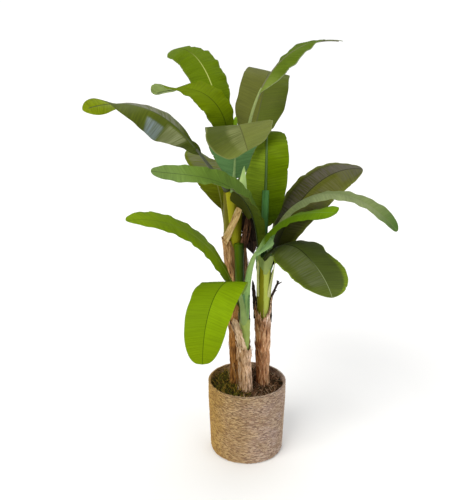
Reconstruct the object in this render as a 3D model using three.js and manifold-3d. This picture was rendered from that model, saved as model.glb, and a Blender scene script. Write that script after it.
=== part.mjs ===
// Artificial banana plant: three pseudostems with fifteen arching leaves, standing in a round
// woven seagrass basket. Millimetres, +Z up. The origin is the centre of the basket's flat
// underside, and the plant's front faces -Y.
import * as THREE from "three";
import { mergeVertices } from "three/addons/utils/BufferGeometryUtils.js";
import Module from "manifold-3d";

const wasm = await Module();
wasm.setup();

// Driving dimensions
const GAP = 0.3; // running gap between neighbouring pieces
const BASKET = { height: 317, rimRadius: 165, footRadius: 156, wall: 9, floor: 10, edge: 13 };
const FILLING = { weightTop: 266, mossTop: 292 };
const STEM_SIDES = 22;

// Each stem leans from its foot to its head and sways by up to `sway` half way up.
// Radii are given at the foot and at the head, with `flare` more at the very foot.
const STEMS = {
  husk_a: { from: 292, to: 925, foot: [-30, 20], head: [-56, 20], sway: [6, 0], radii: [42, 48], flare: 4 },
  green_a: { from: 620, to: 1130, foot: [-52, 20], head: [-61, 20], sway: [-5, 0], radii: [36, 40], flare: 0 },
  husk_b: { from: 292, to: 496, foot: [-6, -56], head: [-14, -58], sway: [1, 0], radii: [29, 29], flare: 4 },
  green_b: { from: 496, to: 620, foot: [-14, -58], head: [-12, -60], sway: [0, 0], radii: [20, 22], flare: 0 },
  husk_c: { from: 292, to: 618, foot: [68, 3], head: [64, 1], sway: [-1, 0], radii: [26, 35], flare: 3 },
  green_c: { from: 618, to: 790, foot: [64, 1], head: [66, 0], sway: [0, 0], radii: [29, 35], flare: 0 },
};
const HUSK_A_SPLIT = 700; // above this height the tall husk is open in front of the green stem
const SHEATH_A = { from: 715, to: 925, foot: [-32, -24], head: [-38, -24], sway: [0, 0], radii: [19, 19], flare: 0 };

// Leaf petioles start on a ring on top of their stem
const CROWNS = {
  a: { centre: [-61, 20], top: 1130, ring: 27, petiole: 9 },
  b: { centre: [-12, -60], top: 620, ring: 12, petiole: 7.5 },
  c: { centre: [66, 0], top: 790, ring: 24, petiole: 8.5 },
};

// A leaf: place on the crown's ring (degrees), compass heading of its rib (0 = +X, 90 = +Y) and
// how far that turns, elevation at the root and past the arch, where the arch lies and how much
// of the length it takes, roll and fold of the blade from base to tip, curl of each half, and the
// lengths of petiole and blade and the blade's half width. `split` cuts a strong arch in two.
// `tipRoll` is a further roll over the last third of the blade.
const LEAVES = [
  { name: "leaf_a1", crown: "a", place: 100, heading: 116, turn: 5, rise: 71, drop: -32, bendAt: 0.76,
    bendOver: 1.20, roll: [-11, -27], fold: [-3, -8], curl: -16, petiole: 214, blade: 650, half: 78,
    split: 0.72 },
  { name: "leaf_a2", crown: "a", place: 155, heading: 163, turn: -13, rise: 92, drop: -11,
    bendAt: 0.56, bendOver: 0.70, roll: [-12, -7], fold: [-8, 22], curl: -10, petiole: 159, blade: 488,
    half: 101, split: 0.5 },
  { name: "leaf_a3", crown: "a", place: 205, heading: 227, turn: -48, rise: 50, drop: -29, bendAt: 0.75,
    bendOver: 0.87, roll: [-84, 8], tipRoll: 44, fold: [-44, 18], curl: -32, petiole: 198, blade: 501,
    half: 88 },
  { name: "leaf_a5", crown: "a", root: [-92, 36, 985], heading: 124, turn: -10, rise: 71, drop: 17,
    bendAt: 0.47, bendOver: 0.62, roll: [-9, 14], fold: [11, -6], curl: -9, petiole: 62, blade: 380,
    half: 86 },
  { name: "leaf_a6", crown: "a", place: 270, heading: -80, turn: -6, rise: 72, drop: -17, bendAt: 0.48,
    bendOver: 0.25, roll: [-15, 31], fold: [11, -3], curl: -6, petiole: 57, blade: 534, half: 115,
    split: 0.48 },
  { name: "leaf_a7", crown: "a", place: 45, heading: 60, turn: 16, rise: 55, drop: -25, bendAt: 0.78,
    bendOver: 0.33, roll: [16, 11], fold: [23, 10], curl: -3, petiole: 164, blade: 540, half: 103,
    split: 0.74 },
  { name: "leaf_a8", crown: "a", place: -20, heading: 24, turn: 2, rise: 82, drop: -22, bendAt: 0.71,
    bendOver: 1.11, roll: [-6, -1], fold: [-26, 29], curl: -16, petiole: 374, blade: 461, half: 89,
    split: 0.6 },
  { name: "leaf_c4", crown: "c", place: 200, heading: 258, turn: -60, rise: 89, drop: 9, bendAt: 0.42,
    bendOver: 1.01, roll: [-54, -15], fold: [45, -14], curl: 22, petiole: 83, blade: 700, half: 65,
    split: 0.45 },
  { name: "leaf_c9", crown: "c", place: 100, heading: 80, turn: 9, rise: 76, drop: -10, bendAt: 0.74,
    bendOver: 0.44, roll: [-2, -16], fold: [0, -9], curl: -18, petiole: 183, blade: 566, half: 91,
    split: 0.68 },
  { name: "leaf_c10", crown: "c", place: 40, heading: 32, turn: 2, rise: 70, drop: -30, bendAt: 0.70,
    bendOver: 1.41, roll: [-4, 41], fold: [2, -17], curl: -13, petiole: 30, blade: 666, half: 103,
    split: 0.5 },
  { name: "leaf_c11", crown: "c", place: -20, heading: -2, turn: -20, rise: 100, drop: -47,
    bendAt: 0.48, bendOver: 1.16, roll: [-1, 2], fold: [-16, 16], curl: -10, petiole: 169, blade: 598,
    half: 85, split: 0.5 },
  { name: "leaf_c13", crown: "c", place: 262, heading: -26, turn: -60, rise: 100, drop: -21,
    bendAt: 0.24, bendOver: 0.71, roll: [13, 4], fold: [-10, 3], curl: -9, petiole: 102, blade: 461,
    half: 114, split: 0.36 },
  { name: "leaf_b12", crown: "b", place: 10, heading: -48, turn: 0, rise: 92, drop: 6, bendAt: 0.51,
    bendOver: 1.05, roll: [40, 4], fold: [-16, 2], curl: -14, petiole: 276, blade: 481, half: 78,
    split: 0.58 },
  { name: "leaf_b14", crown: "b", place: 160, heading: 202, turn: 26, rise: 81, drop: -7, bendAt: 0.58,
    bendOver: 1.50, roll: [-34, -19], fold: [-1, 6], curl: -12, petiole: 111, blade: 649, half: 88,
    split: 0.5 },
  { name: "leaf_b15", crown: "b", place: 250, heading: -112, turn: -2, rise: 73, drop: -87,
    bendAt: 0.52, bendOver: 1.04, roll: [17, -30], fold: [3, 0], curl: -8, petiole: 116, blade: 546,
    half: 83, split: 0.5 },
];
const RIB_STEPS = 60; // steps along the whole rib
const STATION_EVERY = 3; // one cross section each so many steps

// Dried strips, torn husk pieces and the sheaths round the leaf bases: same arch rule as the
// leaves, with a plain ribbon section from `width` at the foot to `tipWidth`.
const STRIPS = [
  { name: "husk_ribbon_a", root: [-91, -10, 926], heading: -28, turn: 0, rise: 66, drop: 67, bendAt: 0.5,
    bendOver: 0.5, roll: [-112, -86], length: 155, width: 30, tipWidth: 21, thick: 3.5, paint: "husk" },
  { name: "dry_strip_a1", root: [-23, -12, 912], heading: 0, turn: 0, rise: 80, drop: 80, bendAt: 0.5,
    bendOver: 0.5, roll: [75, 105], length: 142, width: 15, tipWidth: 10, thick: 2.5, paint: "dry" },
  { name: "dry_strip_a2", root: [-3, 14, 876], heading: 0, turn: 0, rise: 89, drop: 88, bendAt: 0.5,
    bendOver: 0.8, roll: [90, 90], length: 170, width: 26, tipWidth: 38, thick: 2.5, paint: "dry" },
  { name: "husk_strip_b1", root: [-25, -82, 490], heading: 180, turn: 0, rise: 83, drop: 81, bendAt: 0.5,
    bendOver: 0.5, roll: [90, 90], length: 192, width: 20, tipWidth: 28, thick: 3, paint: "husk" },
  { name: "dry_strip_b2", root: [9, -68, 592], heading: 180, turn: 0, rise: 88, drop: 88, bendAt: 0.5,
    bendOver: 0.5, roll: [90, 90], length: 90, width: 7, tipWidth: 5, thick: 2.5, paint: "black" },
  { name: "dry_point_c1", root: [33, -4, 596], heading: 180, turn: 0, rise: 85, drop: 85, bendAt: 0.5,
    bendOver: 0.8, roll: [90, 90], length: 168, width: 15, tipWidth: 5, thick: 3, paint: "black" },
  { name: "dry_twig_c2", root: [95, -6, 598], heading: -5, turn: 0, rise: 91, drop: 68, bendAt: 0.5,
    bendOver: 0.4, roll: [90, 90], length: 168, width: 10, tipWidth: 5, thick: 5, paint: "black" },
];

// Bracts that wrap the leaf bases on the third stem: angles round the stem, bottom and top height
const BRACTS = [
  { name: "bract_c_left", stem: "green_c", angles: [160, 268], bottom: 770, top: 872, point: 0.40, flare: 5 },
  { name: "bract_c_right", stem: "green_c", angles: [272, 380], bottom: 770, top: 868, point: 0.36, flare: 5 },
];

const SPEAR = { radii: [13, 11, 7], length: 286, lean: [10, -6] }; // rolled new leaf on the tall stem

// Colours as seen on the object
const PAINTS = {
  basket: { color: 0xb39a72, roughness: 0.92 },
  weight: { color: 0x8f8b82, roughness: 0.95 },
  moss: { color: 0x2f2f1b, roughness: 1.0 },
  husk: { color: 0xa88660, roughness: 0.9 },
  dry: { color: 0x5b3320, roughness: 0.85 },
  black: { color: 0x2a1c14, roughness: 0.8 },
  greenStem: { color: 0x8c8f1e, roughness: 0.5 },
  sheath: { color: 0x3f7a1c, roughness: 0.45 },
  bract: { color: 0x8fb070, roughness: 0.5 },
  leaf: { color: 0x4f7d14, roughness: 0.42 },
  youngLeaf: { color: 0x7ba30d, roughness: 0.42 },
};
const YOUNG = ["leaf_a2", "leaf_b14", "leaf_b15"];

const DEG = Math.PI / 180;
const clamp = (x) => Math.min(Math.max(x, 0), 1);
const smooth = (x) => clamp(x) ** 2 * (3 - 2 * clamp(x));
const mix = (a, b, k) => a + (b - a) * k;

/** Half width of a blade as a share of its widest, from base (0) to tip (1). */
function bladeShare(s) {
  const widest = 0.42;
  if (s < widest) return Math.sin((Math.PI / 2) * clamp(s / widest)) ** 0.85;
  return (1 - clamp((s - widest) / (1 - widest)) ** 2.6) ** 0.62;
}

/** Stations along an arched rib: place, direction, upward normal and sideways direction. */
function ribLine({ root, heading, turn, rise, drop, bendAt, bendOver, roll, tipRoll }, length, bladeFrom) {
  const stations = [];
  const at = new THREE.Vector3(...root);
  let last = null;
  for (let i = 0; i <= RIB_STEPS; i++) {
    const t = i / RIB_STEPS;
    const e = mix(rise, drop, smooth((t - (bendAt - bendOver / 2)) / bendOver)) * DEG;
    const a = (heading + turn * t) * DEG;
    const along = new THREE.Vector3(Math.cos(e) * Math.cos(a), Math.cos(e) * Math.sin(a), Math.sin(e));
    const up = new THREE.Vector3(-Math.sin(e) * Math.cos(a), -Math.sin(e) * Math.sin(a), Math.cos(e));
    const side = new THREE.Vector3().crossVectors(along, up);
    const s = (t - bladeFrom) / (1 - bladeFrom);
    const r = (mix(roll[0], roll[1], smooth(s)) + (tipRoll ?? 0) * smooth((s - 0.66) / 0.34)) * DEG;
    const up2 = up.clone().multiplyScalar(Math.cos(r)).addScaledVector(side, Math.sin(r));
    const side2 = side.clone().multiplyScalar(Math.cos(r)).addScaledVector(up, -Math.sin(r));
    if (last) at.addScaledVector(last.clone().add(along).multiplyScalar(0.5), length / RIB_STEPS);
    last = along;
    stations.push({ t, at: at.clone(), along, up: up2, side: side2 });
  }
  return stations;
}

/** Closed thin solid between two grids of points, `upper[i][j]` above `lower[i][j]`. */
function slab(upper, lower) {
  const rows = upper.length;
  const cols = upper[0].length;
  const corners = [...upper.flat(), ...lower.flat()];
  const top = (i, j) => i * cols + j;
  const under = (i, j) => rows * cols + i * cols + j;
  const index = [];
  const quad = (a, b, c, d) => index.push(a, b, c, a, c, d);
  for (let i = 0; i + 1 < rows; i++) {
    for (let j = 0; j + 1 < cols; j++) {
      quad(top(i, j), top(i, j + 1), top(i + 1, j + 1), top(i + 1, j));
      quad(under(i, j), under(i + 1, j), under(i + 1, j + 1), under(i, j + 1));
    }
    quad(top(i, 0), top(i + 1, 0), under(i + 1, 0), under(i, 0));
    quad(top(i + 1, cols - 1), top(i, cols - 1), under(i, cols - 1), under(i + 1, cols - 1));
  }
  for (let j = 0; j + 1 < cols; j++) {
    quad(top(0, j + 1), top(0, j), under(0, j), under(0, j + 1));
    quad(top(rows - 1, j), top(rows - 1, j + 1), under(rows - 1, j + 1), under(rows - 1, j));
  }
  return closed(corners, index);
}

/** Geometry from corners and triangles, turned inside out if its volume comes out negative. */
function closed(corners, index) {
  let volume = 0;
  for (let k = 0; k < index.length; k += 3) {
    const [a, b, c] = [corners[index[k]], corners[index[k + 1]], corners[index[k + 2]]];
    volume += a.dot(new THREE.Vector3().crossVectors(b, c));
  }
  const faces = volume < 0 ? [...index].reverse() : index;
  const geometry = new THREE.BufferGeometry();
  geometry.setAttribute("position", new THREE.Float32BufferAttribute(corners.flatMap((c) => c.toArray()), 3));
  geometry.setIndex(faces);
  return geometry;
}

/** Solid through level rings of equal count, closed by a fan at each end. */
function loft(rings) {
  const count = rings[0].length;
  const corners = rings.flat();
  const index = [];
  for (let i = 0; i + 1 < rings.length; i++) {
    for (let j = 0; j < count; j++) {
      const k = (j + 1) % count;
      index.push(i * count + j, i * count + k, (i + 1) * count + k);
      index.push(i * count + j, (i + 1) * count + k, (i + 1) * count + j);
    }
  }
  for (const [ring, flip] of [[0, true], [rings.length - 1, false]]) {
    const centre = rings[ring].reduce((sum, p) => sum.add(p), new THREE.Vector3()).divideScalar(count);
    corners.push(centre);
    for (let j = 0; j < count; j++) {
      const [a, b] = [ring * count + j, ring * count + ((j + 1) % count)];
      index.push(corners.length - 1, flip ? b : a, flip ? a : b);
    }
  }
  return closed(corners, index);
}

/** Centre of a stem at height z. */
function stemCentre(stem, z) {
  const k = (z - stem.from) / (stem.to - stem.from);
  return [0, 1].map((n) => mix(stem.foot[n], stem.head[n], k) + stem.sway[n] * 4 * k * (1 - k));
}

/** Radius of a stem at height z, with its root flare. */
function stemRadius(stem, z) {
  const k = (z - stem.from) / (stem.to - stem.from);
  return mix(stem.radii[0], stem.radii[1], k) + stem.flare * clamp(1 - 6 * k) ** 2;
}

/** Stem between two heights, its section slightly lobed by the wrapped sheaths. */
function stemGeometry(stem, from, to, grow = 0) {
  const levels = Math.max(3, Math.round((to - from) / 55));
  const rings = [];
  for (let i = 0; i <= levels; i++) {
    const z = mix(from, to, i / levels);
    const [x, y] = stemCentre(stem, z);
    const ring = [];
    for (let j = 0; j < STEM_SIDES; j++) {
      const a = (j / STEM_SIDES) * 2 * Math.PI;
      const lobe = 1 + 0.025 * Math.cos(3 * a + z / 160) + 0.015 * Math.cos(5 * a - z / 90);
      const r = stemRadius(stem, z) * lobe + grow;
      ring.push(new THREE.Vector3(x + r * Math.cos(a), y + r * Math.sin(a), z));
    }
    rings.push(ring);
  }
  return loft(rings);
}

/** Place of a leaf's root: on its crown's ring, or as given. */
function leafRoot(leaf) {
  if (leaf.root) return leaf.root;
  const { centre, top, ring } = CROWNS[leaf.crown];
  const a = leaf.place * DEG;
  return [centre[0] + ring * Math.cos(a), centre[1] + ring * Math.sin(a), top];
}

/** Share of the way across one half, and height gained, for a half that starts at angle `fold`. */
function acrossHalf(fold, curl, u) {
  if (Math.abs(curl) < 1e-4) return [u * Math.cos(fold), u * Math.sin(fold)];
  return [(Math.sin(fold + curl * u) - Math.sin(fold)) / curl, (Math.cos(fold) - Math.cos(fold + curl * u)) / curl];
}

/** Upper and lower point rows of a leaf's cross section at one station. */
function leafSection(leaf, station, length) {
  const s = clamp((station.t * length - leaf.petiole) / leaf.blade);
  const stalk = CROWNS[leaf.crown].petiole;
  const rib = mix(stalk, 4, smooth(s * 1.15));
  const half = Math.max(bladeShare(s) * leaf.half, s > 0.5 ? 5 : stalk + 1.5);
  const open = clamp((half - stalk) / 30);
  const thick = length / 200;
  const fold = mix(leaf.fold[0], leaf.fold[1], s) * DEG * open;
  const curl = leaf.curl * DEG * open;
  const ribAt = Math.min(rib, half * 0.6);
  const rows = [[], []];
  for (const sign of [-1, 1]) {
    const columns = [half, (half + ribAt) / 2, ribAt, 0];
    if (sign > 0) columns.reverse().shift();
    for (const d of columns) {
      const [across, lift] = acrossHalf(fold, curl, d / half);
      const slope = d > 0 ? fold + (curl * d) / half : 0;
      const normal = station.up.clone().multiplyScalar(Math.cos(slope));
      normal.addScaledVector(station.side, -sign * Math.sin(slope));
      const point = station.at.clone().addScaledVector(station.side, sign * across * half);
      point.addScaledVector(station.up, lift * half);
      const round = stalk * Math.sqrt(Math.max(1 - (d / (stalk + 2.2)) ** 2, 0.05));
      const ridge = thick + (rib - 4) * 0.8 * (1 - d / (ribAt + 1e-6));
      const height = d <= ribAt ? mix(round, Math.max(ridge, thick), open) : mix(round, thick, open);
      rows[0].push(point.clone().addScaledVector(normal, height));
      rows[1].push(point.clone().addScaledVector(normal, -height));
    }
  }
  return rows;
}

/** A leaf as one closed thin solid, or as two where its strong arch is split. */
function leafGeometries(leaf) {
  const length = leaf.petiole + leaf.blade;
  const root = leafRoot(leaf);
  const stations = ribLine({ ...leaf, root }, length, leaf.petiole / length);
  const used = stations.filter((_, i) => i % STATION_EVERY === 0 || i === RIB_STEPS - 1);
  const cut = leaf.split ? Math.round(leaf.split * (used.length - 1)) : null;
  const ranges = cut ? [[0, cut], [cut, used.length - 1]] : [[0, used.length - 1]];
  return ranges.map(([first, last]) => {
    const upper = [];
    const lower = [];
    for (let i = first; i <= last; i++) {
      const [top, under] = leafSection(leaf, used[i], length);
      const shift = i === cut ? (first === cut ? GAP / 2 : -GAP / 2) : 0;
      for (const p of [...top, ...under]) {
        if (shift) p.addScaledVector(used[i].along, shift);
        if (i === 0 && !leaf.root) p.addScaledVector(used[0].along, (root[2] + GAP - p.z) / used[0].along.z);
      }
      upper.push(top);
      lower.push(under);
    }
    return slab(upper, lower);
  });
}

/** A plain ribbon on the arch rule, tapering to its tip. */
function stripGeometry(strip) {
  const upper = [];
  const lower = [];
  for (const station of ribLine(strip, strip.length, 0).filter((_, i) => i % 10 === 0)) {
    const half = mix(strip.width, strip.tipWidth, station.t) / 2;
    const row = (height) => [-1, 0, 1].map((u) => station.at.clone().addScaledVector(station.side, u * half)
      .addScaledVector(station.up, height - 0.12 * half * u * u));
    upper.push(row(strip.thick / 2));
    lower.push(row(-strip.thick / 2));
  }
  return slab(upper, lower);
}

/** A bract: a pointed piece of sheath wrapped round a stem and leaning out at the top. */
function bractGeometry({ stem: stemName, angles, bottom, top, point, flare }) {
  const stem = STEMS[stemName];
  const [inner, outer] = [[], []];
  const steps = 8;
  for (let j = 0; j <= steps; j++) {
    const k = j / steps;
    const a = mix(angles[0], angles[1], k) * DEG;
    const peak = k < point ? smooth(k / point) : smooth((1 - k) / (1 - point));
    const height = mix(bottom + 45, top, peak);
    const column = [[], []];
    for (let i = 0; i <= 5; i++) {
      const z = mix(bottom, height, i / 5);
      const [x, y] = stemCentre(stem, z);
      const r = stemRadius(stem, Math.min(z, stem.to)) * 1.045 + flare * smooth((z - bottom) / (top - bottom));
      for (const [side, thick] of [[0, 0.5], [1, 3.5]]) {
        column[side].push(new THREE.Vector3(x + (r + thick) * Math.cos(a), y + (r + thick) * Math.sin(a), z));
      }
    }
    inner.push(column[0]);
    outer.push(column[1]);
  }
  return slab(outer, inner);
}

/** Closed revolved solid from radius and height pairs that start and end on the axis. */
function revolved(profile, sides = 48) {
  const lathe = new THREE.LatheGeometry(profile.map(([r, z]) => new THREE.Vector2(r, z)), sides);
  return lathe.rotateX(Math.PI / 2);
}

/** The rolled new leaf that stands on the tall stem's crown. */
function spearGeometry() {
  const { centre, top } = CROWNS.a;
  const rings = [];
  for (let i = 0; i <= 8; i++) {
    const k = i / 8;
    const r = k < 0.5 ? mix(SPEAR.radii[0], SPEAR.radii[1], k * 2) : mix(SPEAR.radii[1], SPEAR.radii[2], k * 2 - 1);
    const ring = [];
    for (let j = 0; j < 10; j++) {
      const a = (j / 10) * 2 * Math.PI;
      ring.push(new THREE.Vector3(centre[0] + SPEAR.lean[0] * k + r * Math.cos(a),
        centre[1] + SPEAR.lean[1] * k + r * Math.sin(a), top + GAP + SPEAR.length * k));
    }
    rings.push(ring);
  }
  return loft(rings);
}

/** Turns a closed geometry into a solid that can be cut. */
function solidOf(geometry) {
  const bare = new THREE.BufferGeometry();
  bare.setAttribute("position", geometry.getAttribute("position").clone());
  bare.setIndex(geometry.getIndex());
  const merged = mergeVertices(bare, 1e-4);
  return new wasm.Manifold(new wasm.Mesh({
    numProp: 3,
    vertProperties: new Float32Array(merged.getAttribute("position").array),
    triVerts: new Uint32Array(merged.getIndex().array),
  }));
}

/** Geometry of a cut solid. */
function geometryOf(solid) {
  const mesh = solid.getMesh();
  const geometry = new THREE.BufferGeometry();
  geometry.setAttribute("position", new THREE.BufferAttribute(Float32Array.from(mesh.vertProperties), 3));
  geometry.setIndex(new THREE.BufferAttribute(Uint32Array.from(mesh.triVerts), 1));
  return geometry;
}

/** Cuts one geometry by others. */
function cutBy(geometry, ...cutters) {
  return geometryOf(cutters.reduce((solid, cutter) => solid.subtract(solidOf(cutter)), solidOf(geometry)));
}

const part = new THREE.Group();

/** Adds a named mesh in one of the object's colours. */
function add(name, geometry, paint) {
  const mesh = new THREE.Mesh(geometry, new THREE.MeshStandardMaterial({ metalness: 0, ...PAINTS[paint] }));
  mesh.name = name;
  part.add(mesh);
  return mesh;
}

// Basket: rounded foot edge, slightly tapered wall, open at the top
const { height, rimRadius, footRadius, wall, floor, edge } = BASKET;
const roundFoot = [0, 30, 60, 90].map((a) => [
  footRadius - edge + edge * Math.sin(a * DEG), edge - edge * Math.cos(a * DEG)]);
const wallRadius = (z) => mix(footRadius, rimRadius, clamp((z - edge) / (height * 0.75)));
add("basket", revolved([
  [0, 0], ...roundFoot, [wallRadius(height * 0.4), height * 0.4], [rimRadius, height * 0.75],
  [rimRadius, height - 3], [rimRadius - 3, height], [rimRadius - wall + 2, height],
  [rimRadius - wall, height - 3], [rimRadius - wall, height * 0.75],
  [wallRadius(height * 0.4) - wall, height * 0.4], [footRadius - wall, edge + floor], [footRadius - edge, floor], [0, floor],
]), "basket");

// Filling: cast weight with the moss bed on it
const fillRadius = (z) => {
  const inside = z < height * 0.4
    ? mix(footRadius - wall, wallRadius(height * 0.4) - wall, clamp((z - edge - floor) / (height * 0.4 - edge - floor)))
    : mix(wallRadius(height * 0.4), rimRadius, clamp((z - height * 0.4) / (height * 0.35))) - wall;
  return inside - GAP;
};
add("cast_weight", revolved([
  [0, floor + GAP], [footRadius - edge - 2, floor + GAP], [fillRadius(edge + floor) - 1, edge + floor + 1],
  [fillRadius(height * 0.4), height * 0.4], [fillRadius(height * 0.75), height * 0.75],
  [fillRadius(FILLING.weightTop), FILLING.weightTop], [0, FILLING.weightTop],
]), "weight");
add("moss_bed", revolved([
  [0, FILLING.weightTop + GAP], [fillRadius(FILLING.mossTop), FILLING.weightTop + GAP],
  [fillRadius(FILLING.mossTop), FILLING.mossTop - 6], [fillRadius(FILLING.mossTop) - 5, FILLING.mossTop],
  [0, FILLING.mossTop],
]), "moss");

// Stems: brown husk below, green pseudostem above
const { husk_a: huskA, green_a: greenA, husk_b: huskB, green_b: greenB, husk_c: huskC, green_c: greenC } = STEMS;
add("husk_a_lower", stemGeometry(huskA, huskA.from + GAP, HUSK_A_SPLIT), "husk");
add("green_stem_a", cutBy(stemGeometry(greenA, HUSK_A_SPLIT + GAP, greenA.to),
  stemGeometry(SHEATH_A, SHEATH_A.from - 5, SHEATH_A.to + GAP, GAP)), "greenStem");
add("husk_a_upper", cutBy(stemGeometry(huskA, HUSK_A_SPLIT + GAP, huskA.to),
  stemGeometry(greenA, HUSK_A_SPLIT - 5, greenA.to, GAP),
  stemGeometry(SHEATH_A, SHEATH_A.from - 5, SHEATH_A.to + 10, GAP)), "husk");
add("green_sheath_a", stemGeometry(SHEATH_A, SHEATH_A.from, SHEATH_A.to), "sheath");
add("husk_b", stemGeometry(huskB, huskB.from + GAP, huskB.to), "husk");
add("green_stem_b", stemGeometry(greenB, greenB.from + GAP, greenB.to), "bract");
add("husk_c", stemGeometry(huskC, huskC.from + GAP, huskC.to), "husk");
add("green_stem_c", stemGeometry(greenC, greenC.from + GAP, greenC.to), "greenStem");
add("new_leaf_spear", spearGeometry(), "youngLeaf");

for (const bract of BRACTS) add(bract.name, bractGeometry(bract), "bract");

// Solids that dried strips and side leaves are cut clear of
const carriers = [
  stemGeometry(huskA, huskA.from, huskA.to + GAP, GAP), stemGeometry(greenA, HUSK_A_SPLIT, greenA.to + GAP, GAP),
  stemGeometry(SHEATH_A, SHEATH_A.from, SHEATH_A.to + GAP, GAP), stemGeometry(huskB, huskB.from, huskB.to + GAP, GAP),
  stemGeometry(greenB, greenB.from, greenB.to + GAP, GAP), stemGeometry(huskC, huskC.from, huskC.to + GAP, GAP),
  stemGeometry(greenC, greenC.from, greenC.to + GAP, GAP),
];
for (const strip of STRIPS) add(strip.name, cutBy(stripGeometry(strip), ...carriers), strip.paint);

for (const leaf of LEAVES) {
  const paint = YOUNG.includes(leaf.name) ? "youngLeaf" : "leaf";
  leafGeometries(leaf).forEach((geometry, k) => {
    const shape = leaf.root && k === 0 ? cutBy(geometry, ...carriers) : geometry;
    add(k === 0 ? leaf.name : `${leaf.name}_tip`, shape, paint);
  });
}

export default part;
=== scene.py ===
"""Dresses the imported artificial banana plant: three pseudostems with fifteen leaves in a seagrass basket.

Lengths are metres and angles are degrees unless a name says otherwise. The origin is the centre of
the basket's underside, +Z is up and the plant's front faces -Y. Leaves, stems and strips repeat the
arch rule and the named sizes of the part's source, with finer meshes.
"""

import logging
import math
from dataclasses import dataclass, field
from enum import Enum

import bmesh
import bpy
import numpy as np
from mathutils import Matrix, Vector


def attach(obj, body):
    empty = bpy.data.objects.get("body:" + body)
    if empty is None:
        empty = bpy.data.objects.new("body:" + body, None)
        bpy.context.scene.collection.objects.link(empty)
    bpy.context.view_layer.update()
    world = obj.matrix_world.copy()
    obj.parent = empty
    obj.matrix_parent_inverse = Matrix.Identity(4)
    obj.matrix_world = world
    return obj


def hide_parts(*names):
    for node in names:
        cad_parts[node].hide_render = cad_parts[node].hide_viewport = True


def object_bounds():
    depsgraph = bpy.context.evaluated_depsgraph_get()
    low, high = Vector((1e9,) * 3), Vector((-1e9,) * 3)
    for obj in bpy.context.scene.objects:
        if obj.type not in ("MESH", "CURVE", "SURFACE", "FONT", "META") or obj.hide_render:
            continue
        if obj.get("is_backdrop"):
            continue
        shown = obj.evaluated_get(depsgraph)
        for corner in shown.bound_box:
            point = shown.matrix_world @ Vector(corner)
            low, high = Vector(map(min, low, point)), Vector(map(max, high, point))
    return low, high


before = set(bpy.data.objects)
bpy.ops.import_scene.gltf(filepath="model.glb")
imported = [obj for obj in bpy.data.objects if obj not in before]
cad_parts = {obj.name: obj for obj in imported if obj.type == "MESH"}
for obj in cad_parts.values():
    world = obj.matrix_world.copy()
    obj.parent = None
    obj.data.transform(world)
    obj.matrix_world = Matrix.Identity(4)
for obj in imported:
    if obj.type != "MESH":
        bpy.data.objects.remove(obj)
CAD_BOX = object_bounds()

LOG = logging.getLogger("banana_plant")
Colour = tuple[float, float, float]
Place = tuple[float, float, float]
Pair = tuple[float, float]
Array = np.ndarray
Line = dict[str, Array]
Piece = bpy.types.Object
Material = bpy.types.Material
Socket = bpy.types.NodeSocket
Tree = bpy.types.NodeTree
BODY = "root"
TAU = 2.0 * math.pi


def clamp(x: Array | float) -> Array | float:
    """Limits x to the range 0 to 1."""
    return np.clip(x, 0.0, 1.0)


def smooth(x: Array | float) -> Array | float:
    """Eased step from 0 to 1."""
    return clamp(x) ** 2 * (3.0 - 2.0 * clamp(x))


def mix(a: float, b: float, k: Array | float) -> Array | float:
    """Value between a and b at share k."""
    return a + (b - a) * k


def unit(v: Array) -> Array:
    """Vectors of length one along the last axis."""
    return v / np.linalg.norm(v, axis=-1, keepdims=True)


def angles(count: int) -> Array:
    """Equal steps round a circle."""
    return np.linspace(0.0, TAU, count, endpoint=False)


def dim(colour: Colour, share: float) -> Colour:
    """Darker form of a colour."""
    return tuple(part * share for part in colour)


def add_object(name: str, data: bpy.types.ID) -> Piece:
    """Makes an object and links it to the scene.

    Args:
        name: the object's name.
        data: its mesh, lamp or camera.

    Returns:
        The new object.
    """
    made = bpy.data.objects.new(name, data)
    bpy.context.scene.collection.objects.link(made)
    return made


class Noise:
    """Smooth seeded noise on a plane, from -1 to 1, that repeats along its first axis."""

    CELLS = 256

    def __init__(self, seed: int) -> None:
        """Draws the lattice of random values."""
        self.lattice = np.random.default_rng(seed).uniform(-1.0, 1.0, (self.CELLS, self.CELLS))

    def at(self, x: Array, y: Array, turn: int = CELLS) -> Array:
        """Noise at places in lattice cells.

        Args:
            x: places along the axis that repeats after `turn` cells.
            y: places along the other axis.
            turn: whole number of cells after which the pattern repeats along x.

        Returns:
            One value for each place.
        """
        x, y = np.broadcast_arrays(np.asarray(x, float), np.asarray(y, float))
        x0, y0 = np.floor(x).astype(int), np.floor(y).astype(int)
        kx, ky = smooth(x - x0), smooth(y - y0)
        corner = lambda i, j: self.lattice[(x0 + i) % turn % self.CELLS, (y0 + j) % self.CELLS]
        low = mix(corner(0, 0), corner(1, 0), kx)
        high = mix(corner(0, 1), corner(1, 1), kx)
        return mix(low, high, ky)


def seat(piece: Piece, slot: str, *nodes: str) -> Piece:
    """Puts a finished piece on the plant's body in place of its CAD nodes.

    Args:
        piece: the finished object.
        slot: not used.
        nodes: CAD nodes that it stands for.

    Returns:
        The same piece.
    """
    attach(piece, BODY)
    if nodes:
        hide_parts(*nodes)
    triangles = sum(len(face.vertices) - 2 for face in piece.data.polygons)
    LOG.info("%s: %d triangles, stands for %s", piece.name, triangles, ", ".join(nodes) or "no node")
    return piece


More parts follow.
